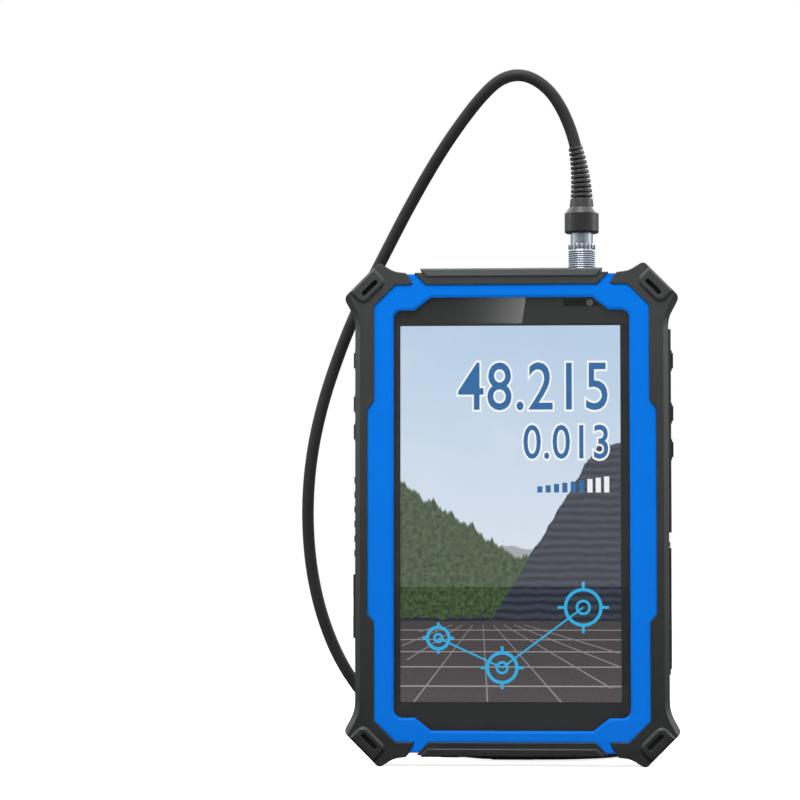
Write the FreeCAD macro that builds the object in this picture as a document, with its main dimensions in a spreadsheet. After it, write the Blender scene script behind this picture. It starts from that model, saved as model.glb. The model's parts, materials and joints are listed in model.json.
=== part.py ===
# A rugged seven-inch field tablet (survey data collector) with its antenna lead plugged into the top.
# It stands on its bottom bumpers: +Z up, the screen faces -Y, X to the right, millimetres.
# Every tablet piece is modelled about the tablet's middle and placed half its height up.
import FreeCAD, Part
import math
import os
import Sketcher
from FreeCAD import Placement, Rotation, Vector

doc = FreeCAD.newDocument("FieldTablet")
sheet = doc.addObject("Spreadsheet::Sheet", "Sheet")

SIZES = {
    # the bumpers' outline, from the middle
    "half_width": (68.0, "middle to a corner bumper's side"),
    "half_height": (102.5, "middle to a corner bumper's top"),
    "block_half_depth": (12.0, "middle to the front of a corner block"),
    "lip_half_depth": (11.0, "middle to the front of a bumper's lip"),
    "corner_cut": (13.4, "leg of the slanted corner, along X and along Z"),
    "side_inset": (4.0, "waist of the side, in from the corner"),
    "side_flat": (1.7, "flat at the widest point of a corner"),
    "apex_flat": (1.4, "flat at the highest point of a corner"),
    "flare_length": (22.5, "top to where the side flare ends"),
    "saddle_inset": (20.0, "corner's side to the low saddle on its top"),
    "saddle_drop": (3.2, "saddle below the corner's top"),
    "saddle_round": (9.0, "radius of the saddle's hollow"),
    "tip_inset": (24.6, "corner's side to the upper end of the bumper's tip"),
    "tip_lean": (3.2, "how far the tip leans out over its height"),
    "tip_drop": (0.6, "tip's upper end below the saddle"),
    "tip_round": (0.8, "radius at the tip's end and foot"),
    "band_drop": (8.6, "corner's top to the band where rubber meets the face"),
    "low_rise": (1.2, "band at the bottom, up from the top's mirror image"),
    "flare_round": (15.0, "radius at the foot of the flare"),
    "corner_round": (1.9, "radius at the corner's two ends"),
    "lip_bevel": (2.2, "bevel along the bumper's outer edge"),
    "block_bevel": (0.8, "bevel round a corner block"),
    "ridge_bevel": (0.5, "bevel along the ridges of the end strips"),
    # the window of the bumpers, which the blue face fills
    "rim_width": (7.8, "rubber beside the face, in from the waist"),
    "window_cut": (8.8, "leg of the window's slanted corner"),
    "waist_widening": (2.7, "how much wider the window is at the waist"),
    "waist_top": (46.3, "upper end of the wide waist"),
    "waist_bottom": (44.0, "lower end of the wide waist"),
    "waist_run": (3.5, "height of the slant into the waist"),
    # corner blocks and their lanyard slots
    "block_depth": (8.0, "corner block, in from the slanted edge"),
    "block_length": (14.0, "corner block, along the slanted edge"),
    "block_round": (3.3, "radius of the block's inner corners"),
    "slot_length": (8.3, "lanyard slot's length"),
    "slot_width": (1.9, "lanyard slot's width"),
    "slot_depth": (4.0, "lanyard slot's depth"),
    "slot_shift": (0.2, "slot's outer edge, out from the block's middle"),
    "slot_round": (0.9, "radius of the slot's ends"),
    # strips along the top and bottom
    "strip_half_inner": (35.0, "half of the strip's length at the face"),
    "strip_half_outer": (39.7, "half of the strip's length at its outer edge"),
    "strip_drop": (3.7, "strip's outer face below the corner's top"),
    "ridge_half_inner": (34.3, "half of the ridge's length at its inner edge"),
    "ridge_half_outer": (37.6, "half of the ridge's length at its outer edge"),
    "ridge_drop": (2.0, "ridge's outer face below the corner's top"),
    "ridge_depth": (3.2, "height of the ridge"),
    "ridge_half_thickness": (11.5, "middle to the front of the ridge"),
    "low_strip_rise": (0.9, "bottom strip's outer face, up from the top's mirror image"),
    "low_ridge_rise": (1.9, "bottom ridge's outer face, up from the top's mirror image"),
    # casing
    "rubber_wall": (3.0, "rubber over the casing's sides"),
    "rubber_top": (5.5, "corner's top to the casing's top"),
    "casing_cut": (12.0, "leg of the casing's slanted corner"),
    "casing_half_depth": (8.0, "middle to the casing under the lips"),
    "face_half_depth": (10.5, "middle to the blue face, and to the back"),
    "frame_half_depth": (5.5, "half of the middle frame's depth"),
    "gap_rib_drop": (4.3, "face's ribs in the gaps, below the corner's top"),
    "frame_wall": (2.2, "wall of the middle frame"),
    "web": (1.4, "plate behind the display"),
    "back_wall": (2.0, "back housing's wall"),
    "fit": (0.15, "clearance of pieces that are let in"),
    "slide": (0.3, "clearance round keys and doors"),
    # glass and display
    "view_rise": (0.3, "glass and display above the middle"),
    "face_width": (8.2, "blue face beside the glass"),
    "crown_rim": (5.7, "blue face above the glass's middle"),
    "step_rise": (5.2, "glass's corners below its crown"),
    "step_inset": (8.4, "glass's side to the foot of its step"),
    "step_run": (6.6, "width of the step's slant"),
    "glass_round": (3.5, "radius of the glass's corners"),
    "glass_recess": (0.7, "glass below the blue face"),
    "glass_thickness": (1.1, "cover glass"),
    "ink_thickness": (0.1, "printed border behind the glass"),
    "gasket_thickness": (0.6, "seal between glass and bezel"),
    "face_bevel": (0.9, "bevel round the glass opening"),
    "lit_side": (3.1, "glass's side to the lit area"),
    "lit_end": (6.3, "glass's corner height to the lit area"),
    "lit_shift": (-0.5, "lit area's middle, from the tablet's"),
    "module_side": (1.5, "display module past the lit area, at the sides"),
    "module_top": (2.7, "display module past the lit area, at the top"),
    "module_bottom": (3.9, "display module past the lit area, at the bottom"),
    "sensor_width": (15.1, "dark sensor window's width at its foot"),
    "sensor_gap": (0.6, "dark sensor window to the glass's slanted edge"),
    "sensor_drop": (2.1, "dark sensor window's middle below the glass's crown"),
    "sensor_height": (3.0, "dark sensor window's height"),
    "camera_from_end": (4.3, "front camera, in from the window's right end"),
    "camera_radius": (1.4, "front camera's barrel"),
    # side keys
    "key_length": (8.3, "a side key's length"),
    "key_half_thickness": (2.6, "half of a side key's depth, front to back"),
    "key_proud": (1.1, "key past the wall round it"),
    "panel_rise": (1.1, "raised wall round the right keys, past the waist"),
    "panel_top": (75.5, "upper end of that wall, above the middle"),
    "panel_low": (-7.5, "lower end of that wall, from the middle"),
    "panel_half_depth": (6.5, "half of that wall's depth, front to back"),
    "key_step": (0.55, "height of the key's raised pad"),
    "key_lift": (0.9, "key's underside off the casing"),
    "key_travel": (0.6, "how far a key goes in"),
    "key_stem": (2.4, "side of a key's square stem"),
    "key_flange": (0.6, "thickness of the key's inner flange"),
    "switch_gap": (0.1, "key's stem to its switch when pressed home"),
    "switch_height": (1.4, "height of a tact switch"),
    "switch_side": (4.0, "side of a tact switch"),
    "right_key_one": (63.0, "power key's height above the middle"),
    "right_key_two": (41.4, "upper volume key's height above the middle"),
    "right_key_three": (26.5, "lower volume key's height above the middle"),
    "left_key_one": (63.5, "first function key's height above the middle"),
    "left_key_two": (45.5, "second function key's height above the middle"),
    "left_key_three": (34.0, "third function key's height above the middle"),
    # port doors
    "right_door_top": (13.8, "right door's upper end, below the middle"),
    "right_door_length": (49.4, "right door's length"),
    "left_door_top": (24.6, "left door's upper end, below the middle"),
    "left_door_length": (26.0, "left door's length"),
    "door_proud": (1.0, "door past the waist"),
    "door_thickness": (2.8, "door's plate"),
    "door_front": (5.0, "middle to the door's front edge"),
    "hinge_back": (5.2, "middle to the hinge's axis"),
    "hinge_radius": (1.4, "hinge barrel's radius"),
    "pin_radius": (0.6, "hinge pin's radius"),
    "pin_play": (0.05, "running clearance round the hinge pin"),
    "lug": (2.2, "thickness of a hinge lug"),
    "seal_gap": (0.1, "seal to the casing"),
    "seal_width": (1.0, "width of the seal's rim"),
    "port_seat": (0.8, "middle to the small boards that carry the ports"),
    "port_board_thickness": (1.2, "small boards that carry ports"),
    # lead's connector
    "socket_x": (29.0, "connector's axis, right of the middle"),
    "socket_y": (1.0, "connector's axis, behind the middle"),
    "sleeve_radius": (5.6, "latch sleeve and socket's outer radius"),
    "sleeve_height": (10.6, "latch sleeve's height"),
    "sleeve_travel": (1.5, "how far the latch sleeve pulls up"),
    "neck_radius": (4.6, "plug's smooth neck"),
    "neck_height": (4.7, "plug's neck above the sleeve"),
    "nose_radius": (3.0, "plug's nose in the socket"),
    "nose_length": (8.0, "plug's nose, down into the socket"),
    "socket_thread_radius": (3.9, "socket's threaded barrel"),
    "socket_flange_radius": (6.4, "socket's flange"),
    "socket_flange": (1.5, "thickness of the socket's flange"),
    "socket_nut_radius": (5.0, "socket's ring nut"),
    "socket_nut_height": (2.5, "socket's ring nut"),
    "contact_radius": (0.5, "centre contact"),
    "socket_length": (11.0, "socket's barrel below its flange"),
    "collar_radius": (7.05, "black collar"),
    "collar_height": (8.0, "black collar's straight part"),
    "collar_taper": (2.7, "black collar's tapered shoulder"),
    "cone_height": (3.5, "plain part above the shoulder"),
    "relief_height": (21.7, "slotted bend relief"),
    "relief_foot_radius": (4.6, "bend relief's radius at its foot"),
    "relief_end_radius": (2.95, "bend relief's radius at its end"),
    "relief_lean": (13.0, "degrees the relief's end leans"),
    "relief_ribs": (11.0, "ribs on the bend relief"),
    "relief_core": (0.68, "core between the ribs, as a share of their radius"),
    "rib_height": (1.15, "height of each rib"),
    "cable_radius": (2.5, "lead's radius"),
    # the wound spare length and the plug at the far end
    "coil_x": (12.0, "coil's middle, across"),
    "coil_y": (61.0, "coil's middle, back"),
    "coil_mean": (30.0, "radius at the middle of the turns"),
    "coil_half_width": (7.6, "half of the winding's width"),
    "coil_half_height": (5.1, "half of the winding's height"),
    "plug_reach": (36.0, "from the coil's middle to the far plug's boot, across"),
    "ground_gap": (0.1, "lowest point of the lying plug over the ground"),
    "tie_thickness": (0.6, "strap of the ties"),
    "tie_angle": (16.0, "degrees that a tie covers"),
    "nut_radius": (7.2, "far plug's coupling nut"),
    "nut_length": (12.0, "coupling nut's length"),
    "far_body_radius": (4.7, "far plug's body"),
    "far_body_length": (19.0, "far plug's body"),
    "boot_radius": (4.4, "far plug's black sleeve, thick part"),
    "boot_small": (3.5, "far plug's black sleeve, thin part"),
    "boot_length": (9.0, "each part of the black sleeve"),
    # back of the tablet
    "insert_across": (30.2, "mounting inserts, apart across"),
    "insert_up": (38.1, "mounting inserts, apart up"),
    "insert_radius": (3.0, "mounting insert's outside"),
    "insert_bore": (2.0, "mounting insert's bore"),
    "insert_length": (5.0, "mounting insert's length"),
    "boss_wall": (1.6, "plastic round an insert or screw"),
    "screw_inset": (4.2, "side case screws, in from the rubber"),
    "screw_drop": (23.5, "corner case screws, below the corner's top"),
    "screw_inner": (20.0, "top and bottom case screws, out from the middle"),
    "screw_end_drop": (12.9, "top and bottom case screws, below the corner's top"),
    "screw_radius": (1.25, "case screw's shank"),
    "screw_head": (2.3, "case screw's head"),
    "screw_head_height": (1.5, "case screw's head"),
    "rear_camera_x": (-38.0, "rear camera, across"),
    "rear_camera_z": (74.0, "rear camera, up"),
    "rear_camera_radius": (4.2, "rear camera's cover"),
    "flash_below": (13.0, "lamp below the rear camera"),
    "speaker_x": (-2.0, "speaker, across"),
    "speaker_z": (-82.0, "speaker, up"),
    "speaker_half_width": (10.0, "half of the speaker's width"),
    "speaker_half_height": (5.5, "half of the speaker's height"),
    "speaker_depth": (4.5, "speaker, off the back wall"),
    "sound_hole": (0.8, "radius of each sound hole"),
    # boards and battery
    "board_gap": (1.6, "boards off the plate"),
    "board_thickness": (1.6, "main board and receiver board"),
    "main_left": (-46.0, "main board's left edge"),
    "main_right": (10.0, "main board's right edge"),
    "main_bottom": (12.0, "main board's lower edge"),
    "boards_top": (83.0, "upper edge of both boards"),
    "receiver_left": (14.0, "receiver board's left edge"),
    "receiver_right": (46.0, "receiver board's right edge"),
    "receiver_bottom": (42.0, "receiver board's lower edge"),
    "shield_height": (2.0, "metal cans over the chips"),
    "battery_half_width": (43.0, "half of the battery's width"),
    "battery_top": (6.0, "battery's upper edge"),
    "battery_bottom": (-70.0, "battery's lower edge"),
    "battery_depth": (7.0, "battery's thickness"),
    # charging contacts underneath
    "dock_half_length": (8.4, "half of the contact block's length"),
    "dock_half_depth": (4.5, "half of the contact block's depth, front to back"),
    "dock_proud": (1.4, "contact block past the strip's ridge"),
    "dock_pitch": (2.54, "contacts, apart"),
    "dock_contact_radius": (0.75, "a contact's radius"),
}


class Size:
    """A size as its number and as the expression that ties it to the sheet."""

    def __init__(self, value, text):
        self.value = float(value)
        self.text = text

    def __add__(self, other):
        other = as_size(other)
        return Size(self.value + other.value, f"({self.text} + {other.text})")

    def __sub__(self, other):
        other = as_size(other)
        return Size(self.value - other.value, f"({self.text} - {other.text})")

    def __mul__(self, other):
        other = as_size(other)
        return Size(self.value * other.value, f"({self.text} * {other.text})")

    def __truediv__(self, other):
        other = as_size(other)
        return Size(self.value / other.value, f"({self.text} / {other.text})")

    def __neg__(self):
        return Size(-self.value, f"(-{self.text})")

    def __radd__(self, other):
        return as_size(other) + self

    def __rsub__(self, other):
        return as_size(other) - self

    def __rmul__(self, other):
        return as_size(other) * self


def as_size(value):
    return value if isinstance(value, Size) else Size(value, f"({float(value):.6f})")


class Dimensions:
    """The sheet's cells as attributes."""

    def __init__(self, table):
        for row, (alias, (value, meaning)) in enumerate(table.items(), start=1):
            sheet.set(f"A{row}", meaning)
            sheet.set(f"B{row}", str(value))
            sheet.setAlias(f"B{row}", alias)
            setattr(self, alias, Size(value, f"Sheet.{alias}"))


d = Dimensions(SIZES)
doc.recompute()

# derived sizes, all from the middle of the tablet
waist = d.half_width - d.side_inset
casing_half_width = waist - d.rubber_wall
casing_half_height = d.half_height - d.rubber_top
band = d.half_height - d.band_drop
window_half_width = waist - d.rim_width
wide_window = window_half_width + d.waist_widening
glass_half_width = window_half_width - d.face_width
glass_step_half = glass_half_width - d.step_inset
glass_crown_half = glass_step_half - d.step_run
glass_crown_height = band - d.crown_rim
glass_step_height = glass_crown_height - d.step_rise
lit_half_width = glass_half_width - d.lit_side
lit_half_height = glass_step_height - d.lit_end
display_half_width = lit_half_width + d.module_side
display_top = lit_half_height + d.module_top
display_bottom = lit_half_height + d.module_bottom
screw_side = window_half_width - d.screw_inset
screw_corner = d.half_height - d.screw_drop
screw_end_height = d.half_height - d.screw_end_drop
cavity_half_width = casing_half_width - d.frame_wall
cavity_half_height = casing_half_height - d.frame_wall
web_back = d.web - d.frame_half_depth
glass_front = d.glass_recess - d.face_half_depth
glass_back = glass_front + d.glass_thickness
ink_back = glass_back + d.ink_thickness
ledge = ink_back + d.gasket_thickness
back_inside = d.face_half_depth - d.back_wall
zero = as_size(0)

AXES = {"front": "XZ_Plane", "top": "XY_Plane", "side": "YZ_Plane"}
LETTERS = {"front": "XZ", "top": "XY", "side": "YZ"}
bodies = []


class Piece:
    """One part: a PartDesign body whose features are named after what they form."""

    def __init__(self, label, x=0, y=0, z=None, turn=None):
        self.body = doc.addObject("PartDesign::Body", label)
        self.body.Label = label
        self.count = 0
        place = [as_size(x), as_size(y), d.half_height if z is None else as_size(z)]
        self.body.Placement = Placement(Vector(*[p.value for p in place]), turn or Rotation())
        for axis, size in zip("xyz", place):
            self.body.setExpression(f"Placement.Base.{axis}", size.text)
        bodies.append(self.body)

    def name(self, what):
        self.count += 1
        return f"{self.body.Label}_{what}_{self.count}"

    def plane(self, view):
        return next(f for f in self.body.Origin.OriginFeatures if f.Role == AXES[view])

    def sketch(self, view, contours, at):
        """A sketch square to the view's axis at the place 'at', with each contour's points held."""
        sketch = self.body.newObject("Sketcher::SketchObject", self.name("sketch"))
        sketch.AttachmentSupport = (self.plane(view), [""])
        sketch.MapMode = "FlatFace"
        offset = -at if view == "front" else at
        sketch.AttachmentOffset = Placement(Vector(0, 0, offset.value), Rotation())
        sketch.setExpression("AttachmentOffset.Base.z", offset.text)
        for contour in contours:
            if contour[0] == "circle":
                add_circle(sketch, *contour[1:])
            else:
                add_outline(sketch, contour)
        return sketch

    def add(self, view, contours, start, end, what="pad"):
        """Material between two places along the view's axis."""
        start, end = as_size(start), as_size(end)
        feature = self.body.newObject("PartDesign::Pad", self.name(what))
        return self.extrude(feature, view, contours, end if view == "front" else start, end - start)

    def cut(self, view, contours, start, end, what="pocket"):
        """A pocket between two places along the view's axis."""
        start, end = as_size(start), as_size(end)
        before = self.body.Shape.Volume
        feature = self.body.newObject("PartDesign::Pocket", self.name(what))
        self.extrude(feature, view, contours, start if view == "front" else end, end - start)
        if feature.Shape.Volume > before - 1e-6:
            raise RuntimeError(f"{feature.Name} cuts nothing")
        return feature

    def extrude(self, feature, view, contours, at, length):
        feature.Profile = self.sketch(view, contours, at)
        feature.Length = length.value
        feature.setExpression("Length", length.text)
        doc.recompute()
        return feature

    def turn(self, contours, degrees=360, what="turned"):
        """Profiles of radius and height, turned about the piece's own Z axis."""
        sketch = self.sketch("front", contours, zero)
        feature = self.body.newObject("PartDesign::Revolution", self.name(what))
        feature.Profile = sketch
        feature.ReferenceAxis = (sketch, ["V_Axis"])
        feature.Angle = as_size(degrees).value
        feature.setExpression("Angle", as_size(degrees).text)
        feature.Midplane = True
        doc.recompute()
        return feature

    def dress(self, kind, edges, size, what):
        """A Fillet or Chamfer on the named edges."""
        if not edges:
            raise RuntimeError(f"{self.body.Label} has no edge for {what}")
        base = self.body.Tip
        feature = self.body.newObject(f"PartDesign::{kind}", self.name(what))
        feature.Base = (base, edges)
        quantity = "Radius" if kind == "Fillet" else "Size"
        setattr(feature, quantity, as_size(size).value)
        feature.setExpression(quantity, as_size(size).text)
        doc.recompute()
        return feature

    def round(self, view, points, radius, what="rounded"):
        """Rounds the edges that run along the view's axis through the given points."""
        return self.dress("Fillet", self.edges_along(view, points), radius, what)

    def edges_along(self, view, points):
        first, second = (self.axis_index(letter) for letter in LETTERS[view])
        wanted = [(as_size(a).value, as_size(b).value) for a, b in points]
        found = []
        for number, edge in enumerate(self.local_shape().Edges, start=1):
            ends = [v.Point for v in edge.Vertexes]
            if len(ends) == 2 and all(
                abs(ends[0][k] - ends[1][k]) < 1e-4 for k in (first, second)
            ):
                if any(math.hypot(ends[0][first] - a, ends[0][second] - b) < 0.02 for a, b in wanted):
                    found.append(f"Edge{number}")
        return found

    def edges_where(self, test):
        """Edges whose middle point passes the test."""
        found = []
        for number, edge in enumerate(self.local_shape().Edges, start=1):
            middle = edge.valueAt((edge.FirstParameter + edge.LastParameter) / 2)
            ends = [v.Point for v in edge.Vertexes]
            if test(middle, ends):
                found.append(f"Edge{number}")
        return found

    def local_shape(self):
        return self.body.Tip.Shape

    @staticmethod
    def axis_index(letter):
        return "XYZ".index(letter)


def add_outline(sketch, points):
    """A closed chain of lines, each start held by its two distances from the origin."""
    first = sketch.GeometryCount
    total = len(points)
    points = [(as_size(a), as_size(b)) for a, b in points]
    corners = [Vector(a.value, b.value, 0) for a, b in points]
    for i in range(total):
        sketch.addGeometry(Part.LineSegment(corners[i], corners[(i + 1) % total]))
    for i in range(total):
        follower = first + (i + 1) % total
        sketch.addConstraint(Sketcher.Constraint("Coincident", first + i, 2, follower, 1))
    for i, pair in enumerate(points):
        hold(sketch, first + i, 1, *pair)


def hold(sketch, element, vertex, across, up):
    for kind, size in (("DistanceX", across), ("DistanceY", up)):
        number = sketch.addConstraint(
            Sketcher.Constraint(kind, -1, 1, element, vertex, size.value)
        )
        sketch.setExpression(f"Constraints[{number}]", size.text)


def add_circle(sketch, across, up, radius):
    across, up, radius = as_size(across), as_size(up), as_size(radius)
    centre = Vector(across.value, up.value, 0)
    element = sketch.addGeometry(Part.Circle(centre, Vector(0, 0, 1), radius.value))
    hold(sketch, element, 3, across, up)
    number = sketch.addConstraint(Sketcher.Constraint("Radius", element, radius.value))
    sketch.setExpression(f"Constraints[{number}]", radius.text)


def box(left, bottom, right, top):
    return [(left, bottom), (right, bottom), (right, top), (left, top)]


def centred(across, up, half_across, half_up):
    across, up = as_size(across), as_size(up)
    return box(across - half_across, up - half_up, across + half_across, up + half_up)


def both_halves(upper, lower, side=1):
    """A right or left outline from its upper quarter and its lower one, given as if above the middle."""
    below = [(x, -as_size(z)) for x, z in reversed(lower)]
    return [(as_size(x) * side, as_size(z)) for x, z in upper + below]


def cut_corners(half_width, half_height, leg):
    """A rectangle about the middle with slanted corners."""
    right = [(half_width - leg, half_height), (half_width, half_height - leg)]
    right += [(x, -z) for x, z in reversed(right)]
    return right + [(-x, z) for x, z in reversed(right)]


def on_corner(inward, along, side, level):
    """A point given by its distance in from the slanted corner edge, and along it from its middle."""
    slant = math.sqrt(2) / 2
    middle_x = d.half_width - d.corner_cut / 2
    middle_z = d.half_height - d.corner_cut / 2
    x = middle_x - inward * slant + along * slant
    z = middle_z - inward * slant - along * slant
    return x * side, z * level


def corner_rectangle(near, far, half_length, side, level):
    return [
        on_corner(near, -half_length, side, level),
        on_corner(near, half_length, side, level),
        on_corner(far, half_length, side, level),
        on_corner(far, -half_length, side, level),
    ]


casing_outline = cut_corners(casing_half_width, casing_half_height, d.casing_cut)
cavity_cut = d.casing_cut - d.frame_wall * (2 - math.sqrt(2))
cavity_outline = cut_corners(cavity_half_width, cavity_half_height, cavity_cut)
bands = {1: band, -1: band - d.low_rise}
saddle = d.half_height - d.saddle_drop
tip_end = saddle - d.tip_drop
rib_tops = {1: d.half_height - d.gap_rib_drop, -1: d.half_height - d.gap_rib_drop - d.low_rise}
tip_top_x = d.half_width - d.tip_inset
tip_foot_x = tip_top_x - d.tip_lean


def along_tip(height):
    """X of the bumper's tip edge at a height."""
    share = (height - band) / (saddle - band)
    return tip_foot_x + d.tip_lean * share


def along_strip(height):
    """X of the strip's end edge at a height."""
    top = d.half_height - d.strip_drop
    share = (height - band) / (top - band)
    return d.strip_half_inner + (d.strip_half_outer - d.strip_half_inner) * share


def window_side(side=1):
    """The edge between rubber and face on one side, from the upper tip down to the lower."""
    top, low = bands[1], bands[-1]
    return [
        (along_tip(top) * side, top),
        ((window_half_width - d.window_cut) * side, top),
        (window_half_width * side, top - d.window_cut),
        (window_half_width * side, d.waist_top),
        (wide_window * side, d.waist_top - d.waist_run),
        (wide_window * side, d.waist_run - d.waist_bottom),
        (window_half_width * side, -d.waist_bottom),
        (window_half_width * side, d.window_cut - low),
        ((window_half_width - d.window_cut) * side, -low),
        (along_tip(low) * side, -low),
    ]


def gap(level):
    """A gap's outline between the end strip and the bumper's tip, given as if above the middle."""
    return [
        (along_strip(bands[level]), bands[level]),
        (along_strip(rib_tops[level]), rib_tops[level]),
        (along_tip(rib_tops[level]), rib_tops[level]),
    ]


def face_outline():
    """The raised face: between the rubber pieces, and out over the edge in the four gaps."""
    lower_gap = [(x, -z) for x, z in reversed(gap(-1))]
    right = gap(1) + window_side() + lower_gap
    return right + [(-x, z) for x, z in reversed(right)]


def glass_outline(grow=0):
    middle = d.view_rise
    step, crown = glass_step_height + grow, glass_crown_height + grow
    quarter = [
        (glass_crown_half, crown),
        (glass_step_half, step),
        (glass_half_width + grow, step),
    ]
    right = quarter + [(x, -z) for x, z in reversed(quarter)]
    points = right + [(-x, z) for x, z in reversed(right)]
    return [(x, z + middle) for x, z in points]


def glass_corners(grow=0):
    across = glass_half_width + grow
    up = glass_step_height + grow
    return [(across * i, up * k + d.view_rise) for i in (-1, 1) for k in (-1, 1)]


def display_outline(grow=0):
    return box(
        -(display_half_width + grow),
        d.view_rise - display_bottom - grow,
        display_half_width + grow,
        d.view_rise + display_top + grow,
    )


lit_outline = box(
    d.lit_shift - lit_half_width,
    d.view_rise - lit_half_height,
    d.lit_shift + lit_half_width,
    d.view_rise + lit_half_height,
)
sensor_z = glass_crown_height - d.sensor_drop + d.view_rise
sensor_low, sensor_high = sensor_z - d.sensor_height / 2, sensor_z + d.sensor_height / 2
slant = d.step_run / d.step_rise
sensor_right = glass_crown_half + (d.sensor_drop + d.sensor_height / 2) * slant - d.sensor_gap * 2
sensor_outline = [
    (sensor_right - d.sensor_width, sensor_low),
    (sensor_right, sensor_low),
    (sensor_right - d.sensor_height * slant, sensor_high),
    (sensor_right - d.sensor_width, sensor_high),
]
camera_x = sensor_right - d.camera_from_end

screw_spots = [(screw_side * i, screw_corner * k) for i in (-1, 1) for k in (-1, 0, 1)]
screw_spots += [(d.screw_inner * i, screw_end_height * k) for i in (-1, 1) for k in (-1, 1)]
insert_spots = [
    (d.insert_across / 2 * i, d.insert_up / 2 * k) for i in (-1, 1) for k in (-1, 1)
]


# ---- rubber ----
right_keys = {
    "power_key": d.right_key_one,
    "volume_up_key": d.right_key_two,
    "volume_down_key": d.right_key_three,
}
left_keys = {
    "function_key_1": d.left_key_one,
    "function_key_2": d.left_key_two,
    "function_key_3": d.left_key_three,
}
doors = {
    1: (d.right_door_top, d.right_door_length),
    -1: (d.left_door_top, d.left_door_length),
}
door_outer = waist + d.door_proud
hinge_x = door_outer - d.hinge_radius
key_clear_half = d.key_length / 2 + d.slide
hinge_back_edge = d.hinge_back + d.hinge_radius + d.slide


def bumper(label, side, keys):
    """One side's moulding: both corners, the waist between them, and lips over front and back."""
    piece = Piece(label)
    quarters = {
        level: [
            (along_tip(bands[level]), bands[level]),
            (along_tip(tip_end), tip_end),
            (d.half_width - d.saddle_inset, saddle),
            (d.half_width - d.corner_cut - d.apex_flat, d.half_height),
            (d.half_width - d.corner_cut, d.half_height),
            (d.half_width, d.half_height - d.corner_cut),
            (d.half_width, d.half_height - d.corner_cut - d.side_flat),
            (waist, d.half_height - d.flare_length),
        ]
        for level in (1, -1)
    }

    def corners(first, last):
        """The moulding's corners from the first to the last, at the top and at the bottom."""
        return [(x * side, z * k) for k in (1, -1) for x, z in quarters[k][first : last + 1]]

    depth = d.lip_half_depth
    piece.add("front", [both_halves(quarters[1], quarters[-1], side)], -depth, depth, "moulding")
    piece.round("front", corners(7, 7), d.flare_round, "flare")
    piece.dress("Chamfer", piece.edges_where(on_side_lip), d.lip_bevel, "lip_bevel")
    piece.round("front", corners(2, 2), d.saddle_round, "saddle")
    for level in (-1, 1):
        block = corner_rectangle(zero, d.block_depth, d.block_length / 2, side, level)
        thick = d.block_half_depth
        piece.add("front", [block], -thick, thick, "corner_block")
    piece.round("front", corners(3, 6), d.corner_round, "corner")
    piece.round("front", corners(1, 1), d.tip_round, "tip_end")
    inner = [on_corner(d.block_depth, d.block_length / 2 * s, side, k) for s in (-1, 1) for k in (-1, 1)]
    piece.round("front", inner, d.block_round, "block_corner")
    piece.dress("Chamfer", piece.edges_where(on_block_face), d.block_bevel, "block_bevel")
    add_side_ribs(piece, side)
    piece.cut("front", [window_side(side)], -2 * depth, 2 * depth, "window")
    piece.cut("front", [casing_outline], -d.casing_half_depth, d.casing_half_depth, "casing_room")
    piece.round("front", corners(0, 0), d.tip_round, "tip_foot")
    for level in (-1, 1):
        add_slots(piece, side, level)
    for height in keys.values():
        opening = [(a, b) for a, b in centred(0, height, d.key_half_thickness + d.slide, key_clear_half)]
        cut_side(piece, side, opening, "key_opening")
    top, length = doors[side]
    reach = d.lug + d.slide
    opening = box(
        -(d.door_front + d.slide), -top - length - reach, hinge_back_edge, reach - top
    )
    cut_side(piece, side, opening, "door_opening")
    return piece


def cut_side(piece, side, outline, what):
    """A pocket through the side wall, from outside to the casing."""
    near, far = casing_half_width - 1, d.half_width + 1
    if side > 0:
        piece.cut("side", [outline], near, far, what)
    else:
        piece.cut("side", [outline], -far, -near, what)


def add_slots(piece, side, level):
    """A corner's round-ended lanyard slots, one in front and one behind."""
    near = d.block_depth / 2 - d.slot_shift
    outline = corner_rectangle(near, near + d.slot_width, d.slot_length / 2, side, level)
    start, end = d.block_half_depth - d.slot_depth, d.block_half_depth
    piece.cut("front", [outline], start, end, "lanyard_slot")
    piece.cut("front", [outline], -end, -start, "lanyard_slot")
    piece.round("front", outline, d.slot_round, "slot_end")


def add_side_ribs(piece, side):
    """The raised wall round the right keys, and short grip ribs on the left waist."""
    if side > 0:
        wall = box(waist - 1, d.panel_low, waist + d.panel_rise, d.panel_top)
        piece.add("front", [wall], -d.panel_half_depth, d.panel_half_depth, "key_wall")
        return
    for spot in [14.0, 8.0, 2.0, -4.0, -10.0, -16.0]:
        rib = centred(-waist, spot, 0.5, 1.3)
        piece.add("front", [rib], -6.5, 6.5, "grip_rib")


def on_side_lip(middle, ends):
    """The front and back edges of the waist and its flares."""
    low = d.lip_half_depth.value
    top = d.half_height.value - d.corner_cut.value - d.side_flat.value
    flat = all(abs(abs(p.y) - low) < 1e-4 for p in ends)
    return flat and abs(middle.x) > waist.value - 0.1 and abs(middle.z) < top


def on_block_face(middle, ends):
    return all(abs(abs(p.y) - d.block_half_depth.value) < 1e-4 for p in ends)


right_bumper = bumper("right_bumper", 1, right_keys)
left_bumper = bumper("left_bumper", -1, left_keys)

strip_tops = {1: d.half_height - d.strip_drop, -1: d.half_height - d.strip_drop - d.low_strip_rise}
ridge_top = d.half_height - d.ridge_drop
low_ridge_top = ridge_top - d.low_ridge_rise


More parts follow.
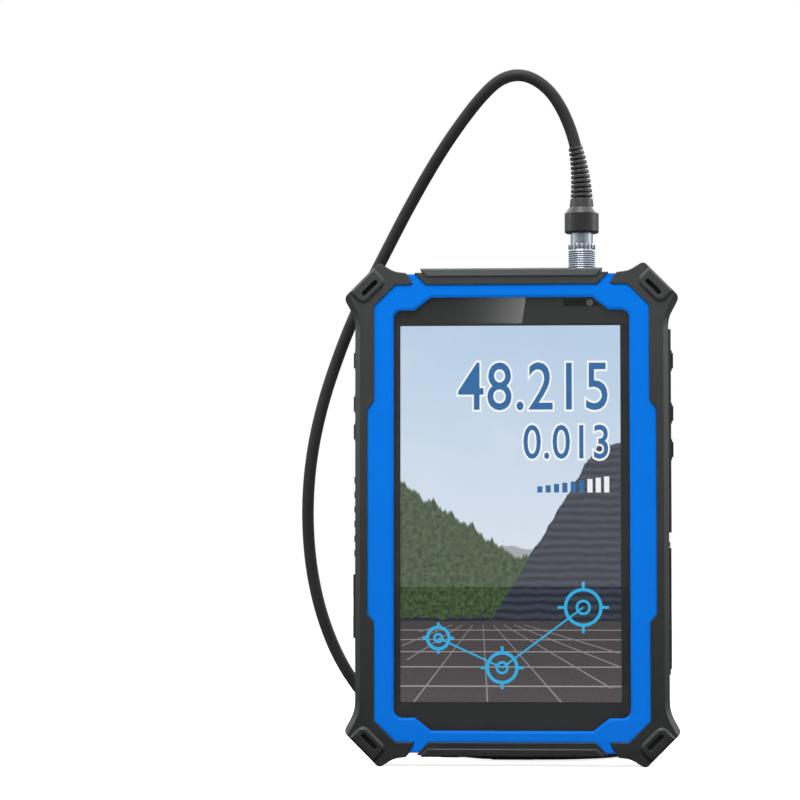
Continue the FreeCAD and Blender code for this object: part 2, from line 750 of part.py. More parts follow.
def strip(label, level):
    """The rubber strip along the top or bottom: a base, and a ridge that stands proud of it."""
    piece = Piece(label)
    base = []
    for height in (bands[level], strip_tops[level]):
        base += [(along_strip(height), height * level), (-along_strip(height), height * level)]
    base[2:] = reversed(base[2:])
    piece.add("front", [base], -d.lip_half_depth, d.lip_half_depth, "base")
    outer_z = ridge_top if level > 0 else low_ridge_top
    foot_z = outer_z - d.ridge_depth
    inner, outer = d.ridge_half_inner, d.ridge_half_outer
    ridge = [(-inner, foot_z), (inner, foot_z), (outer, outer_z), (-outer, outer_z)]
    thick = d.ridge_half_thickness
    piece.add("front", [[(x, z * level) for x, z in ridge]], -thick, thick, "ridge")

    def on_ridge_top(middle, ends):
        return all(
            abs(abs(p.y) - thick.value) < 1e-4 and abs(abs(p.z) - outer_z.value) < 1e-4 for p in ends
        )

    piece.dress("Chamfer", piece.edges_where(on_ridge_top), d.ridge_bevel, "ridge_bevel")
    piece.cut("front", [casing_outline], -d.casing_half_depth, d.casing_half_depth, "casing_room")
    return piece


top_strip = strip("top_strip", 1)
for middle, half in ((-14.7, 2.7), (-6.7, 4.1), (4.6, 2.9), (14.5, 2.8)):
    top_strip.add("front", [centred(middle, ridge_top, half, 0.4)], -7, 7, "grip_rib")
flange_top = casing_half_height + d.socket_flange
socket_hole = ("circle", d.socket_x, d.socket_y, d.socket_flange_radius + d.slide)
top_strip.cut("top", [socket_hole], casing_half_height - 1, flange_top + d.fit, "flange_room")
socket_hole = ("circle", d.socket_x, d.socket_y, d.sleeve_radius + d.slide)
top_strip.cut("top", [socket_hole], flange_top, ridge_top + 1, "socket_hole")

bottom_strip = strip("bottom_strip", -1)
for middle, half in ((-25.4, 3.6), (-15.4, 3.0), (15.0, 2.0), (28.2, 6.5)):
    bottom_strip.add("front", [centred(middle, -low_ridge_top, half, 0.4)], -7, 7, "grip_rib")
dock_room = centred(0, 0, d.dock_half_length, d.dock_half_depth)
bottom_strip.cut("top", [dock_room], -low_ridge_top - 1, 1 - casing_half_height, "dock_room")

dock_block = Piece("dock_block")
dock_bottom = -(low_ridge_top + d.dock_proud)
dock_block.add("top", [dock_room], dock_bottom, -casing_half_height, "block")
dock_spots = [(d.dock_pitch * (i - 2.5), 0, d.dock_contact_radius) for i in range(6)]
contact_depth = 2.0
holes = [("circle", *spot) for spot in dock_spots]
dock_block.cut("top", [*holes], dock_bottom, dock_bottom + contact_depth, "contact_holes")
dock_contacts = Piece("dock_contacts")
dock_contacts.add("top", holes, dock_bottom - 0.1, dock_bottom + contact_depth, "contacts")


# ---- casing ----
front_bezel = Piece("front_bezel")
front_bezel.add("front", [casing_outline], -d.casing_half_depth, -d.frame_half_depth, "flange")
front_bezel.add("front", [face_outline()], -d.face_half_depth, -d.casing_half_depth, "face")
front_bezel.cut("front", [glass_outline(d.fit)], -d.face_half_depth, ledge, "glass_recess")
front_bezel.round("front", glass_corners(d.fit), d.glass_round, "glass_corner")
front_bezel.cut("front", [display_outline(d.slide)], ledge, -d.frame_half_depth, "display_window")
camera_hole = ("circle", camera_x, sensor_z, d.camera_radius + d.slide)
front_bezel.cut("front", [camera_hole], ledge, -d.frame_half_depth, "camera_hole")


def on_glass_opening(middle, ends):
    flat = all(abs(p.y + d.face_half_depth.value) < 1e-4 for p in ends)
    inside = abs(middle.x) < glass_half_width.value + 1
    return flat and inside and abs(middle.z) < glass_crown_height.value + 1


front_bezel.dress("Chamfer", front_bezel.edges_where(on_glass_opening), d.face_bevel, "opening_bevel")

boss_radius = d.screw_radius + d.boss_wall
middle_frame = Piece("middle_frame")
middle_frame.add("front", [casing_outline], -d.frame_half_depth, d.frame_half_depth, "frame")
middle_frame.cut("front", [cavity_outline], web_back, d.frame_half_depth, "cavity")
columns = [("circle", x, z, boss_radius) for x, z in screw_spots]
middle_frame.add("front", columns, web_back, d.frame_half_depth, "screw_columns")
screw_end = d.face_half_depth - d.screw_head_height - 0.3 - 9
bores = [("circle", x, z, d.screw_radius + 0.05) for x, z in screw_spots]
middle_frame.cut("front", bores, screw_end - 0.5, d.frame_half_depth, "screw_bores")

board_front = web_back + d.board_gap
board_back = board_front + d.board_thickness
stand_inset = 4.0
main_spots = [
    (x, z)
    for x in (d.main_left + stand_inset, d.main_right - stand_inset)
    for z in (d.main_bottom + stand_inset, d.boards_top - stand_inset)
]
receiver_spots = [
    (x, z)
    for x in (d.receiver_left + stand_inset, d.receiver_right - stand_inset)
    for z in (d.receiver_bottom + stand_inset, d.boards_top - stand_inset)
]
stand_radius = 2.2
board_screw_radius = 0.8
stands = [("circle", x, z, stand_radius) for x, z in main_spots + receiver_spots]
middle_frame.add("front", stands, web_back, board_front, "board_stands")
stand_bores = [("circle", x, z, board_screw_radius + 0.05) for x, z in main_spots + receiver_spots]
middle_frame.cut("front", stand_bores, web_back - 0.8, board_front, "board_bores")

# ports: label, side, height of the middle, width along Z, height along Y, depth along X, kind of mouth
PORTS = [
    ("usb_c_port", 1, -24.0, 8.9, 3.2, 7.4, "slot"),
    ("hdmi_port", 1, -38.5, 7.2, 3.0, 7.5, "slot"),
    ("audio_jack", 1, -52.0, 6.4, 4.2, 10.0, "round"),
    ("card_slot", -1, -37.6, 15.0, 2.2, 9.0, "slot"),
]
for label, side, height, width, thick, deep, mouth in PORTS:
    hole = centred(d.port_seat - thick / 2, height, thick / 2 + d.fit, width / 2 + d.fit)
    near, far = cavity_half_width - 0.5, casing_half_width + 0.5
    start, end = (near, far) if side > 0 else (-far, -near)
    middle_frame.cut("side", [hole], start, end, "port_hole")
port_boards = [(1, -60.0, -17.0), (-1, -48.5, -26.5)]
port_board_near, port_board_far = 47.0, cavity_half_width - 0.3
for side, low, high in port_boards:
    spots = [((port_board_near + 2) * side, z) for z in (low + 3, high - 3)]
    posts = [("circle", x, z, 1.6) for x, z in spots]
    middle_frame.add("front", posts, web_back, d.port_seat, "port_posts")

half_stem = d.key_stem / 2
for side, keys in ((1, right_keys), (-1, left_keys)):
    for height in keys.values():
        hole = centred(0, height, half_stem + d.fit, half_stem + d.fit)
        near, far = cavity_half_width - 0.5, casing_half_width + 0.5
        start, end = (near, far) if side > 0 else (-far, -near)
        middle_frame.cut("side", [hole], start, end, "stem_hole")

for side in (1, -1):
    top, length = doors[side]
    for low in (-top + d.slide, -top - length - d.slide - d.lug):
        across = box(casing_half_width * side, d.hinge_back - d.hinge_radius, hinge_x * side, d.hinge_back + d.hinge_radius)
        middle_frame.add("top", [across], low, low + d.lug, "hinge_lug")
        eye = ("circle", hinge_x * side, d.hinge_back, d.hinge_radius)
        middle_frame.add("top", [eye], low, low + d.lug, "hinge_eye")
        bore = ("circle", hinge_x * side, d.hinge_back, d.pin_radius + 0.02)
        middle_frame.cut("top", [bore], low - 0.01, low + d.lug + 0.01, "pin_bore")
thread_hole = ("circle", d.socket_x, d.socket_y, d.socket_thread_radius + 0.05)
middle_frame.cut("top", [thread_hole], cavity_half_height - 1, casing_half_height, "socket_bore")

rear_housing = Piece("rear_housing")
rear_housing.add("front", [casing_outline], d.frame_half_depth, d.casing_half_depth, "flange")
rear_housing.add("front", [face_outline()], d.casing_half_depth, d.face_half_depth, "back")
rear_housing.cut("front", [cavity_outline], d.frame_half_depth, back_inside, "cavity")
columns = [("circle", x, z, boss_radius) for x, z in screw_spots]
rear_housing.add("front", columns, d.frame_half_depth, back_inside, "screw_bosses")
bosses = [("circle", x, z, d.insert_radius + d.boss_wall) for x, z in insert_spots]
insert_end = d.face_half_depth - d.insert_length
rear_housing.add("front", bosses, insert_end, back_inside, "insert_bosses")
holes = [("circle", x, z, d.insert_radius + 0.02) for x, z in insert_spots]
rear_housing.cut("front", holes, insert_end, d.face_half_depth, "insert_holes")
holes = [("circle", x, z, d.screw_radius + d.fit) for x, z in screw_spots]
rear_housing.cut("front", holes, d.frame_half_depth, d.face_half_depth, "screw_holes")
head_seat = d.face_half_depth - d.screw_head_height - 0.3
holes = [("circle", x, z, d.screw_head + d.fit) for x, z in screw_spots]
rear_housing.cut("front", holes, head_seat, d.face_half_depth, "head_seats")
cover_seat = d.face_half_depth - 0.8
rear_camera_spot = (d.rear_camera_x, d.rear_camera_z)
flash_spot = (d.rear_camera_x, d.rear_camera_z - d.flash_below)
barrel_radius = d.rear_camera_radius - 1.2
flash_radius = 1.8
hole = ("circle", *rear_camera_spot, barrel_radius + d.fit)
rear_housing.cut("front", [hole], back_inside, d.face_half_depth, "camera_hole")
hole = ("circle", *rear_camera_spot, d.rear_camera_radius + d.fit)
rear_housing.cut("front", [hole], cover_seat, d.face_half_depth, "camera_cover_seat")
hole = ("circle", *flash_spot, flash_radius + d.fit)
rear_housing.cut("front", [hole], back_inside, d.face_half_depth, "lamp_hole")
sound_spots = [(d.speaker_x + (i - 2) * 3.2, d.speaker_z + k * 1.6) for i in range(5) for k in (-1, 1)]
holes = [("circle", x, z, d.sound_hole) for x, z in sound_spots]
rear_housing.cut("front", holes, back_inside, d.face_half_depth, "sound_holes")

case_screws = Piece("case_screws")
heads = [("circle", x, z, d.screw_head) for x, z in screw_spots]
case_screws.add("front", heads, head_seat, head_seat + d.screw_head_height, "heads")
shanks = [("circle", x, z, d.screw_radius) for x, z in screw_spots]
case_screws.add("front", shanks, screw_end, head_seat, "shanks")
drives = [("circle", x, z, 0.9) for x, z in screw_spots]
case_screws.cut("front", drives, head_seat + 0.5, head_seat + d.screw_head_height, "drives")

mount_inserts = Piece("mount_inserts")
tubes = [("circle", x, z, d.insert_radius) for x, z in insert_spots]
mount_inserts.add("front", tubes, insert_end, d.face_half_depth, "inserts")
bores = [("circle", x, z, d.insert_bore) for x, z in insert_spots]
mount_inserts.cut("front", bores, insert_end, d.face_half_depth, "bores")


# ---- glass and display ----
cover_glass = Piece("cover_glass")
cover_glass.add("front", [glass_outline()], glass_front, glass_back, "glass")
cover_glass.round("front", glass_corners(), d.glass_round, "corner")

ink_border = Piece("ink_border")
ink_border.add("front", [glass_outline()], glass_back, ink_back, "ink")
ink_border.round("front", glass_corners(), d.glass_round, "corner")
ink_border.cut("front", [lit_outline, sensor_outline], glass_back, ink_back, "clear_areas")

sensor_window = Piece("sensor_window")
sensor_window.add("front", [sensor_outline], glass_back, ink_back, "film")

glass_gasket = Piece("glass_gasket")
glass_gasket.add("front", [glass_outline()], ink_back, ledge, "gasket")
glass_gasket.round("front", glass_corners(), d.glass_round, "corner")
glass_gasket.cut("front", [display_outline(d.slide)], ink_back, ledge, "display_room")
camera_room = ("circle", camera_x, sensor_z, d.camera_radius + d.slide)
glass_gasket.cut("front", [camera_room], ink_back, ledge, "camera_room")

display_panel = Piece("display_panel")
display_panel.add("front", [display_outline()], ink_back, -d.frame_half_depth, "panel")

front_camera = Piece("front_camera")
barrel = ("circle", camera_x, sensor_z, d.camera_radius)
front_camera.add("front", [barrel], ink_back, -d.frame_half_depth, "barrel")
front_camera.dress("Chamfer", front_camera.edges_where(lambda m, e: m.y < ink_back.value + 0.01), 0.3, "rim")


# ---- inside ----
def block(label, outline, start, end, view="front"):
    piece = Piece(label)
    piece.add(view, [outline], start, end, "block")
    return piece


main_board = block(
    "main_board", box(d.main_left, d.main_bottom, d.main_right, d.boards_top), board_front, board_back
)
receiver_board = block(
    "receiver_board",
    box(d.receiver_left, d.receiver_bottom, d.receiver_right, d.boards_top),
    board_front,
    board_back,
)
for board, spots in ((main_board, main_spots), (receiver_board, receiver_spots)):
    holes = [("circle", x, z, board_screw_radius + d.fit) for x, z in spots]
    board.cut("front", holes, board_front, board_back, "screw_holes")
board_screws = Piece("board_screws")
heads = [("circle", x, z, 1.7) for x, z in main_spots + receiver_spots]
board_screws.add("front", heads, board_back, board_back + 1, "heads")
shanks = [("circle", x, z, board_screw_radius) for x, z in main_spots + receiver_spots]
board_screws.add("front", shanks, web_back - 0.6, board_back, "shanks")

can_inset = stand_inset + stand_radius + 1
main_cans = [
    box(d.main_left + can_inset, d.main_bottom + 8, -19.0, d.boards_top - 8),
    box(-16.0, d.main_bottom + 8, d.main_right - can_inset, d.boards_top - 8),
]
receiver_can = box(d.receiver_left + 3, d.receiver_bottom + 9, d.receiver_right - 3, d.boards_top - 9)
board_shields = Piece("board_shields")
board_shields.add("front", main_cans + [receiver_can], board_back, board_back + d.shield_height, "cans")

battery = block(
    "battery",
    box(-d.battery_half_width, d.battery_bottom, d.battery_half_width, d.battery_top),
    web_back,
    web_back + d.battery_depth,
)
battery.round(
    "front",
    [(d.battery_half_width * i, z) for i in (-1, 1) for z in (d.battery_bottom, d.battery_top)],
    3,
    "corner",
)

speaker = Piece("speaker")
speaker_outline = centred(d.speaker_x, d.speaker_z, d.speaker_half_width, d.speaker_half_height)
speaker.add("front", [speaker_outline], back_inside - d.speaker_depth, back_inside, "case")
cone = ("circle", d.speaker_x, d.speaker_z, d.speaker_half_height - 1)
speaker.cut("front", [cone], back_inside - 1.2, back_inside, "cone")

rear_camera = Piece("rear_camera")
rear_camera.add("front", [centred(*rear_camera_spot, 4.5, 4.5)], back_inside - 4, back_inside, "module")
hole = ("circle", *rear_camera_spot, barrel_radius)
rear_camera.add("front", [hole], back_inside, cover_seat - 0.1, "barrel")
hole = ("circle", *rear_camera_spot, barrel_radius - 0.9)
rear_camera.cut("front", [hole], cover_seat - 0.9, cover_seat - 0.1, "lens_well")

rear_camera_cover = Piece("rear_camera_cover")
hole = ("circle", *rear_camera_spot, d.rear_camera_radius)
rear_camera_cover.add("front", [hole], cover_seat, d.face_half_depth - 0.2, "cover")

flash_lamp = Piece("flash_lamp")
hole = ("circle", *flash_spot, flash_radius + 1)
flash_lamp.add("front", [hole], back_inside - 1, back_inside, "flange")
hole = ("circle", *flash_spot, flash_radius)
flash_lamp.add("front", [hole], back_inside, d.face_half_depth - 0.2, "lens")

port_face = casing_half_width - 0.2
port_wall = 0.35
for label, side, height, width, thick, deep, mouth in PORTS:
    port = Piece(label)
    outline = centred(d.port_seat - thick / 2, height, thick / 2, width / 2)
    start, end = port_face - deep, port_face
    inner = centred(d.port_seat - thick / 2, height, thick / 2 - port_wall, width / 2 - port_wall)
    tongue = centred(d.port_seat - thick / 2, height, 0.35, width / 2 - 1.2)
    if mouth == "round":
        inner = ("circle", d.port_seat - thick / 2, height, 1.75)
        tongue = None
    if side < 0:
        start, end = -end, -start
    port.add("side", [outline], start, end, "shell")
    if side > 0:
        port.cut("side", [inner], start + 1, end, "mouth")
    else:
        port.cut("side", [inner], start, end - 1, "mouth")
    if tongue:
        port.add("side", [tongue], start + 0.8, end - 0.8, "tongue")

boards = Piece("port_boards")
outlines = []
for side, low, high in port_boards:
    near, far = as_size(port_board_near) * side, port_board_far * side
    outlines.append(box(near, low, far, high) if side > 0 else box(far, low, near, high))
boards.add("front", outlines, d.port_seat, d.port_seat + d.port_board_thickness, "boards")


# ---- keys ----
flange_outer = cavity_half_width - 0.05
stem_tip = flange_outer - d.key_flange - 0.5
switch_face = stem_tip - d.key_travel - d.switch_gap
switch_foot = switch_face - d.switch_height
key_board = 0.8
cap_under = casing_half_width + d.key_lift
cap_tops = {1: waist + d.panel_rise + d.key_proud - d.key_step, -1: waist + d.key_proud - d.key_step}


def side_add(piece, side, contours, near, far, what):
    """Material on the right or left side, between two distances from the middle."""
    near, far = as_size(near), as_size(far)
    start, end = (near, far) if side > 0 else (-far, -near)
    return piece.add("side", contours, start, end, what)


key_boards = Piece("key_boards")
key_switches = Piece("key_switches")
for side, keys in ((1, right_keys), (-1, left_keys)):
    heights = list(keys.values())
    for label, height in keys.items():
        key = Piece(label)
        half, cap_top = d.key_length / 2, cap_tops[side]
        side_add(key, side, [centred(0, height, d.key_half_thickness, half)], cap_under, cap_top, "cap")
        pad = centred(0, height, d.key_half_thickness - 0.8, half - 1.1)
        side_add(key, side, [pad], cap_top, cap_top + d.key_step, "raised_pad")
        stem = centred(0, height, half_stem, half_stem)
        side_add(key, side, [stem], stem_tip, cap_under, "stem")
        flange = centred(0, height, half_stem + 0.8, half_stem + 0.8)
        side_add(key, side, [flange], flange_outer - d.key_flange, flange_outer, "flange")
    outline = box(web_back, heights[-1] - 6, 3.0, heights[0] + 6)
    side_add(key_boards, side, [outline], switch_foot - key_board, switch_foot, "board")
    half = d.switch_side / 2
    outlines = [centred(0, height, half, half) for height in heights]
    side_add(key_switches, side, outlines, switch_foot, switch_face - 0.4, "cases")
    domes = [("circle", 0, height, 1.1) for height in heights]
    side_add(key_switches, side, domes, switch_face - 0.4, switch_face, "buttons")


# ---- port doors ----
door_inner = door_outer - d.door_thickness
hinge_pins = Piece("hinge_pins")
for side, word in ((1, "right"), (-1, "left")):
    top, length = doors[side]
    low, high = -top - length, -top
    door = Piece(f"{word}_port_door")
    plate = box(door_inner * side, -d.door_front, door_outer * side, d.hinge_back)
    door.add("top", [plate], low, high, "plate")
    eye = ("circle", hinge_x * side, d.hinge_back, d.hinge_radius)
    door.add("top", [eye], low, high, "barrel")
    bore = ("circle", hinge_x * side, d.hinge_back, d.pin_radius + d.pin_play)
    door.cut("top", [bore], low, high, "pin_bore")
    finger = centred(-d.door_front, (low + high) / 2, 0.9, 4.0)
    far = door_outer
    near = door_outer - 0.9
    start, end = (near, far) if side > 0 else (-far, -near)
    door.cut("side", [finger], start, end, "finger_notch")

    seal = Piece(f"{word}_door_seal")
    outer = box(-d.door_front + 0.3, low + 1.2, 3.3, high - 1.2)
    wide = d.seal_width
    inner = box(-d.door_front + 0.3 + wide, low + 1.2 + wide, 3.3 - wide, high - 1.2 - wide)
    side_add(seal, side, [outer, inner], casing_half_width + d.seal_gap, door_inner, "rim")

    reach = d.slide + d.lug
    pin = ("circle", hinge_x * side, d.hinge_back, d.pin_radius)
    hinge_pins.add("top", [pin], low - reach, high + reach, "pin")


# ---- socket and plug on top ----
def round_piece(label, profile, across=d.socket_x, back=d.socket_y, up=None, turn=None):
    piece = Piece(label, across, back, up, turn)
    piece.turn([profile])
    return piece


socket_foot = casing_half_height - d.socket_length
socket_bore = d.nose_radius + 0.05
insert_height = 2.0
socket_shell = round_piece(
    "socket_shell",
    [
        (socket_bore, socket_foot),
        (d.socket_thread_radius, socket_foot),
        (d.socket_thread_radius, casing_half_height),
        (d.socket_flange_radius, casing_half_height),
        (d.socket_flange_radius, flange_top),
        (d.sleeve_radius, flange_top),
        (d.sleeve_radius, ridge_top),
        (socket_bore, ridge_top),
    ],
)
nut_top = cavity_half_height
socket_nut = round_piece(
    "socket_nut",
    [
        (d.socket_thread_radius + 0.02, nut_top - d.socket_nut_height),
        (d.socket_nut_radius, nut_top - d.socket_nut_height),
        (d.socket_nut_radius, nut_top),
        (d.socket_thread_radius + 0.02, nut_top),
    ],
)
socket_insert = round_piece(
    "socket_insert",
    [
        (0, socket_foot),
        (socket_bore, socket_foot),
        (socket_bore, socket_foot + insert_height),
        (0, socket_foot + insert_height),
    ],
)
nose_foot = ridge_top - d.nose_length
neck_top = ridge_top + 0.2 + d.sleeve_height + d.neck_height
stub_radius = d.neck_radius - 1.2
stub_top = neck_top + d.collar_height - 2
nose_bore = d.nose_radius - 0.8
plug_shell = round_piece(
    "plug_shell",
    [
        (nose_bore, nose_foot),
        (d.nose_radius, nose_foot),
        (d.nose_radius, ridge_top),
        (d.neck_radius, ridge_top),
        (d.neck_radius, neck_top),
        (stub_radius, neck_top),
        (stub_radius, stub_top),
        (0, stub_top),
        (0, ridge_top),
        (nose_bore, ridge_top),
    ],
)
plug_insert = round_piece(
    "plug_insert",
    [
        (0, socket_foot + insert_height),
        (d.contact_radius, socket_foot + insert_height),
        (d.contact_radius, nose_foot + 1),
        (nose_bore, nose_foot + 1),
        (nose_bore, ridge_top),
        (0, ridge_top),
    ],
)


def sleeve_profile(bore, outer, low, high, grooves, depth):
    """A tube with even round grooves over its lower part, and a plain rim above them."""
    rim = 2.4
    pitch = (high - low - rim) / (grooves + 0.5)
    points = [(bore, low), (outer, low)]
    for i in range(grooves):
        start = low + pitch * (i + 0.5)
        points += [(outer, start), (outer - depth, start), (outer - depth, start + pitch / 2), (outer, start + pitch / 2)]
    return points + [(outer, high), (bore, high)]


sleeve_low = ridge_top + 0.2
latch_sleeve = round_piece(
    "latch_sleeve",
    sleeve_profile(
        d.neck_radius + 0.05, d.sleeve_radius, sleeve_low, sleeve_low + d.sleeve_height, 6, 0.3
    ),
)
shoulder = neck_top + d.collar_height
collar_top = shoulder + d.collar_taper
plug_collar = round_piece(
    "plug_collar",
    [
        (stub_radius, neck_top),
        (d.collar_radius - 0.4, neck_top),
        (d.collar_radius, neck_top + 0.4),
        (d.collar_radius, shoulder),
        (d.relief_foot_radius + 0.4, collar_top),
        (0, collar_top),
        (0, stub_top),
        (stub_radius, stub_top),
    ],
)


def keep(label, shape):
    """A piece whose shape is made directly, placed where it stands."""
    piece = doc.addObject("Part::Feature", label)
    piece.Label = label
    piece.Shape = shape
    bodies.append(piece)
    return piece


def relief_frame(height):
    """Centre and direction of the bend relief at a height along it: straight, then an even arc."""
    foot = d.half_height.value + collar_top.value + d.cone_height.value
    base = Vector(d.socket_x.value, d.socket_y.value, foot)
    if height <= 0:
        return base + Vector(0, 0, height), Vector(0, 0, 1)
    lean = math.radians(d.relief_lean.value) * height / d.relief_height.value
    bend = height / lean
    centre = base + Vector(-bend * (1 - math.cos(lean)), 0, bend * math.sin(lean))
    return centre, Vector(-math.sin(lean), 0, math.cos(lean))


def relief_slice(low, high, low_radius, high_radius):
    rings = []
    for height, radius in ((low, low_radius), (high, high_radius)):
        centre, along = relief_frame(height)
        rings.append(Part.Wire([Part.makeCircle(radius, centre, along)]))
    return Part.makeLoft(rings, True, True)


def make_relief():
    """A cone, then ribs that get smaller along a leaning core."""
    foot, end = d.relief_foot_radius.value, d.relief_end_radius.value
    tall, count = d.relief_height.value, int(d.relief_ribs.value)
    pitch, core = tall / count, d.relief_core.value

    def radius(height):
        return foot + (end - foot) * height / tall

    solid = relief_slice(-d.cone_height.value, 0, foot + 0.4, foot)
    for i in range(count):
        low = pitch * i
        groove = low + pitch - d.rib_height.value
        waist_low, waist_high = core * radius(low), core * radius(groove)
        solid = solid.fuse(relief_slice(low, groove, waist_low, waist_high))
        solid = solid.fuse(relief_slice(groove, low + pitch, radius(groove), radius(low + pitch)))
    return solid


bend_relief = keep("bend_relief", make_relief())


# ---- the lead ----
def open_path(points):
    """Straight runs joined by tangent arcs, each as large as its two runs allow."""
    edges, start = [], points[0]
    for before, corner, after in zip(points, points[1:], points[2:]):
        back, ahead = before - corner, after - corner
        shorter = min(back.Length, ahead.Length)
        turn = math.pi - back.getAngle(ahead)
        setback = 0.45 * shorter
        radius = setback / math.tan(turn / 2)
        radii.append(radius)
        back.normalize()
        ahead.normalize()
        first, last = corner + back * setback, corner + ahead * setback
        inward = (back + ahead).normalize()
        middle = corner + inward * (radius / math.cos(turn / 2) - radius)
        edges.append(Part.LineSegment(start, first).toShape())
        edges.append(Part.Arc(first, middle, last).toShape())
        start = last
    edges.append(Part.LineSegment(start, points[-1]).toShape())
    return Part.Wire(edges)


def tube(label, points, radius):
    """A round solid along the path, its volume held against section times length."""
    path = open_path(points)
    way = points[1] - points[0]
    ring = Part.Wire([Part.makeCircle(radius, points[0], way)])
    solid = path.makePipeShell([ring], True, True)
    expected = math.pi * radius**2 * path.Length
    if abs(solid.Volume / expected - 1) > 0.01:
        raise RuntimeError(f"{label} has volume {solid.Volume:.0f}, not {expected:.0f}")
    print(f"{label}: {path.Length:.0f} mm long")
    return keep(label, solid)


radii = []
relief_end, relief_way = relief_frame(d.relief_height.value)
first_run = 8
turns_low = d.tie_thickness + d.cable_radius
turns_high = turns_low + 2 * d.cable_radius
outer_turn = d.coil_mean + 2 * d.cable_radius
entry = Vector(d.coil_x.value, d.coil_y.value - outer_turn.value, turns_low.value)
entry_run = 13
ROUTE = [
    relief_end,
    relief_end + relief_way * first_run,
    Vector(18.8, 3, 274.6),
    Vector(12, 5, 281.6),
    Vector(4, 7, 285),
    Vector(-4.5, 9, 283.2),
    Vector(-12.5, 11, 276),
    Vector(-21, 13, 265.5),
    Vector(-31, 15.5, 251.5),
    Vector(-43, 18, 232.5),
    Vector(-54, 20, 211.5),
    Vector(-65, 20.5, 190),
    Vector(-73.5, 21, 169),
    Vector(-80.5, 21.5, 147.5),
    Vector(-85, 22, 125.5),
    Vector(-86.5, 23, 103),
    Vector(-85, 25, 80),
    Vector(-80, 27, 58),
    Vector(-71, 28.5, 37.5),
    Vector(-57, 28.5, 20),
    Vector(-40, 27.5, 8.5),
    Vector(-20.5, 26.6, 3.5),
    entry - Vector(entry_run, 0, 0),
]
lead_tube = tube("lead_tube", ROUTE, d.cable_radius.value)

coil_low = d.tie_thickness
coil_high = coil_low + 2 * d.coil_half_height
coil_inner = d.coil_mean - d.coil_half_width
coil_outer = d.coil_mean + d.coil_half_width
winding = box(coil_inner, coil_low, coil_outer, coil_high)
lead_coil = round_piece("lead_coil", winding, d.coil_x, d.coil_y, 0)
coil_ties = Piece("coil_ties", d.coil_x, d.coil_y, 0)
for side in (1, -1):
    thick = d.tie_thickness
    if side > 0:
        strap = box(coil_inner - thick, coil_low - thick, coil_outer + thick, coil_high + thick)
        room = winding
    else:
        strap = box(-(coil_outer + thick), coil_low - thick, thick - coil_inner, coil_high + thick)
        room = box(-coil_outer, coil_low, -coil_inner, coil_high)
    coil_ties.turn([strap, room], d.tie_angle, "tie")

plug_y = d.coil_y + outer_turn
plug_z = d.nut_radius + d.ground_gap
plug_x = d.coil_x - d.plug_reach
tail_inside = 8
tail_run = 9
tail_start = Vector(d.coil_x.value - tail_inside, plug_y.value, turns_high.value)
plug_entry = Vector(plug_x.value, plug_y.value, plug_z.value)
TAIL = [
    tail_start,
    tail_start - Vector(tail_run, 0, 0),
    plug_entry + Vector(tail_run, 0, 0),
    plug_entry,
]
lead_tail = tube("lead_tail", TAIL, d.cable_radius.value)
print("bend radii:", ", ".join(f"{radius:.0f}" for radius in radii))

# the far plug lies along X: its own Z axis is turned to point left
lying = Rotation(Vector(0, 1, 0), -90)


def far_piece(label, profile):
    return round_piece(label, profile, plug_x, plug_y, plug_z, lying)


boot_end = 2 * d.boot_length
body_end = boot_end + d.far_body_length
far_boot = far_piece(
    "far_boot",
    [
        (0, 0),
        (d.boot_small - 0.4, 0),
        (d.boot_small, 0.4),
        (d.boot_small, d.boot_length),
        (d.boot_radius, d.boot_length + 1),
        (d.boot_radius, boot_end),
        (0, boot_end),
    ],
)
neck_start = boot_end + 8
thread_start = neck_start + 4
mating_radius = d.far_body_radius - 0.7
pin_bore = 2.1
far_body = far_piece(
    "far_body",
    [
        (0, boot_end),
        (d.far_body_radius + 0.8, boot_end),
        (d.far_body_radius + 0.8, neck_start - 1),
        (d.far_body_radius, neck_start - 1),
        (d.far_body_radius, thread_start),
        (mating_radius, thread_start),
        (mating_radius, body_end - 1),
        (pin_bore + 0.02, body_end - 1),
        (pin_bore + 0.02, thread_start),
        (0, thread_start),
    ],
)
far_insert = far_piece(
    "far_insert",
    [
        (0, thread_start),
        (pin_bore, thread_start),
        (pin_bore, thread_start + 3),
        (d.contact_radius, thread_start + 3),
        (d.contact_radius, body_end - 1.5),
        (0, body_end - 1.5),
    ],
)
nut_start = neck_start
nut_end = nut_start + d.nut_length
thread_bore = d.nut_radius - 1.3
coupling_nut = far_piece(
    "coupling_nut",
    [
        (d.far_body_radius + 0.05, nut_start),
        (d.nut_radius - 1, nut_start),
        (d.nut_radius, nut_start + 1),
        (d.nut_radius, nut_end),
        (thread_bore, nut_end),
        (thread_bore, thread_start),
        (d.far_body_radius + 0.05, thread_start),
    ],
)


# ---- write the parts ----
for item in doc.Objects:
    if "Invalid" in item.State or "Error" in item.State:
        raise RuntimeError(f"{item.Label} failed: {item.State}")
os.makedirs("parts", exist_ok=True)
for body in bodies:
    if body.Shape.isNull() or not body.Shape.isValid():
        raise RuntimeError(f"{body.Label} has no sound shape")
    body.Shape.exportStep(os.path.join("parts", f"{body.Label}.step"))
print(f"{len(bodies)} parts")
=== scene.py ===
"""Dresses a rugged field data collector and its plugged-in antenna lead."""

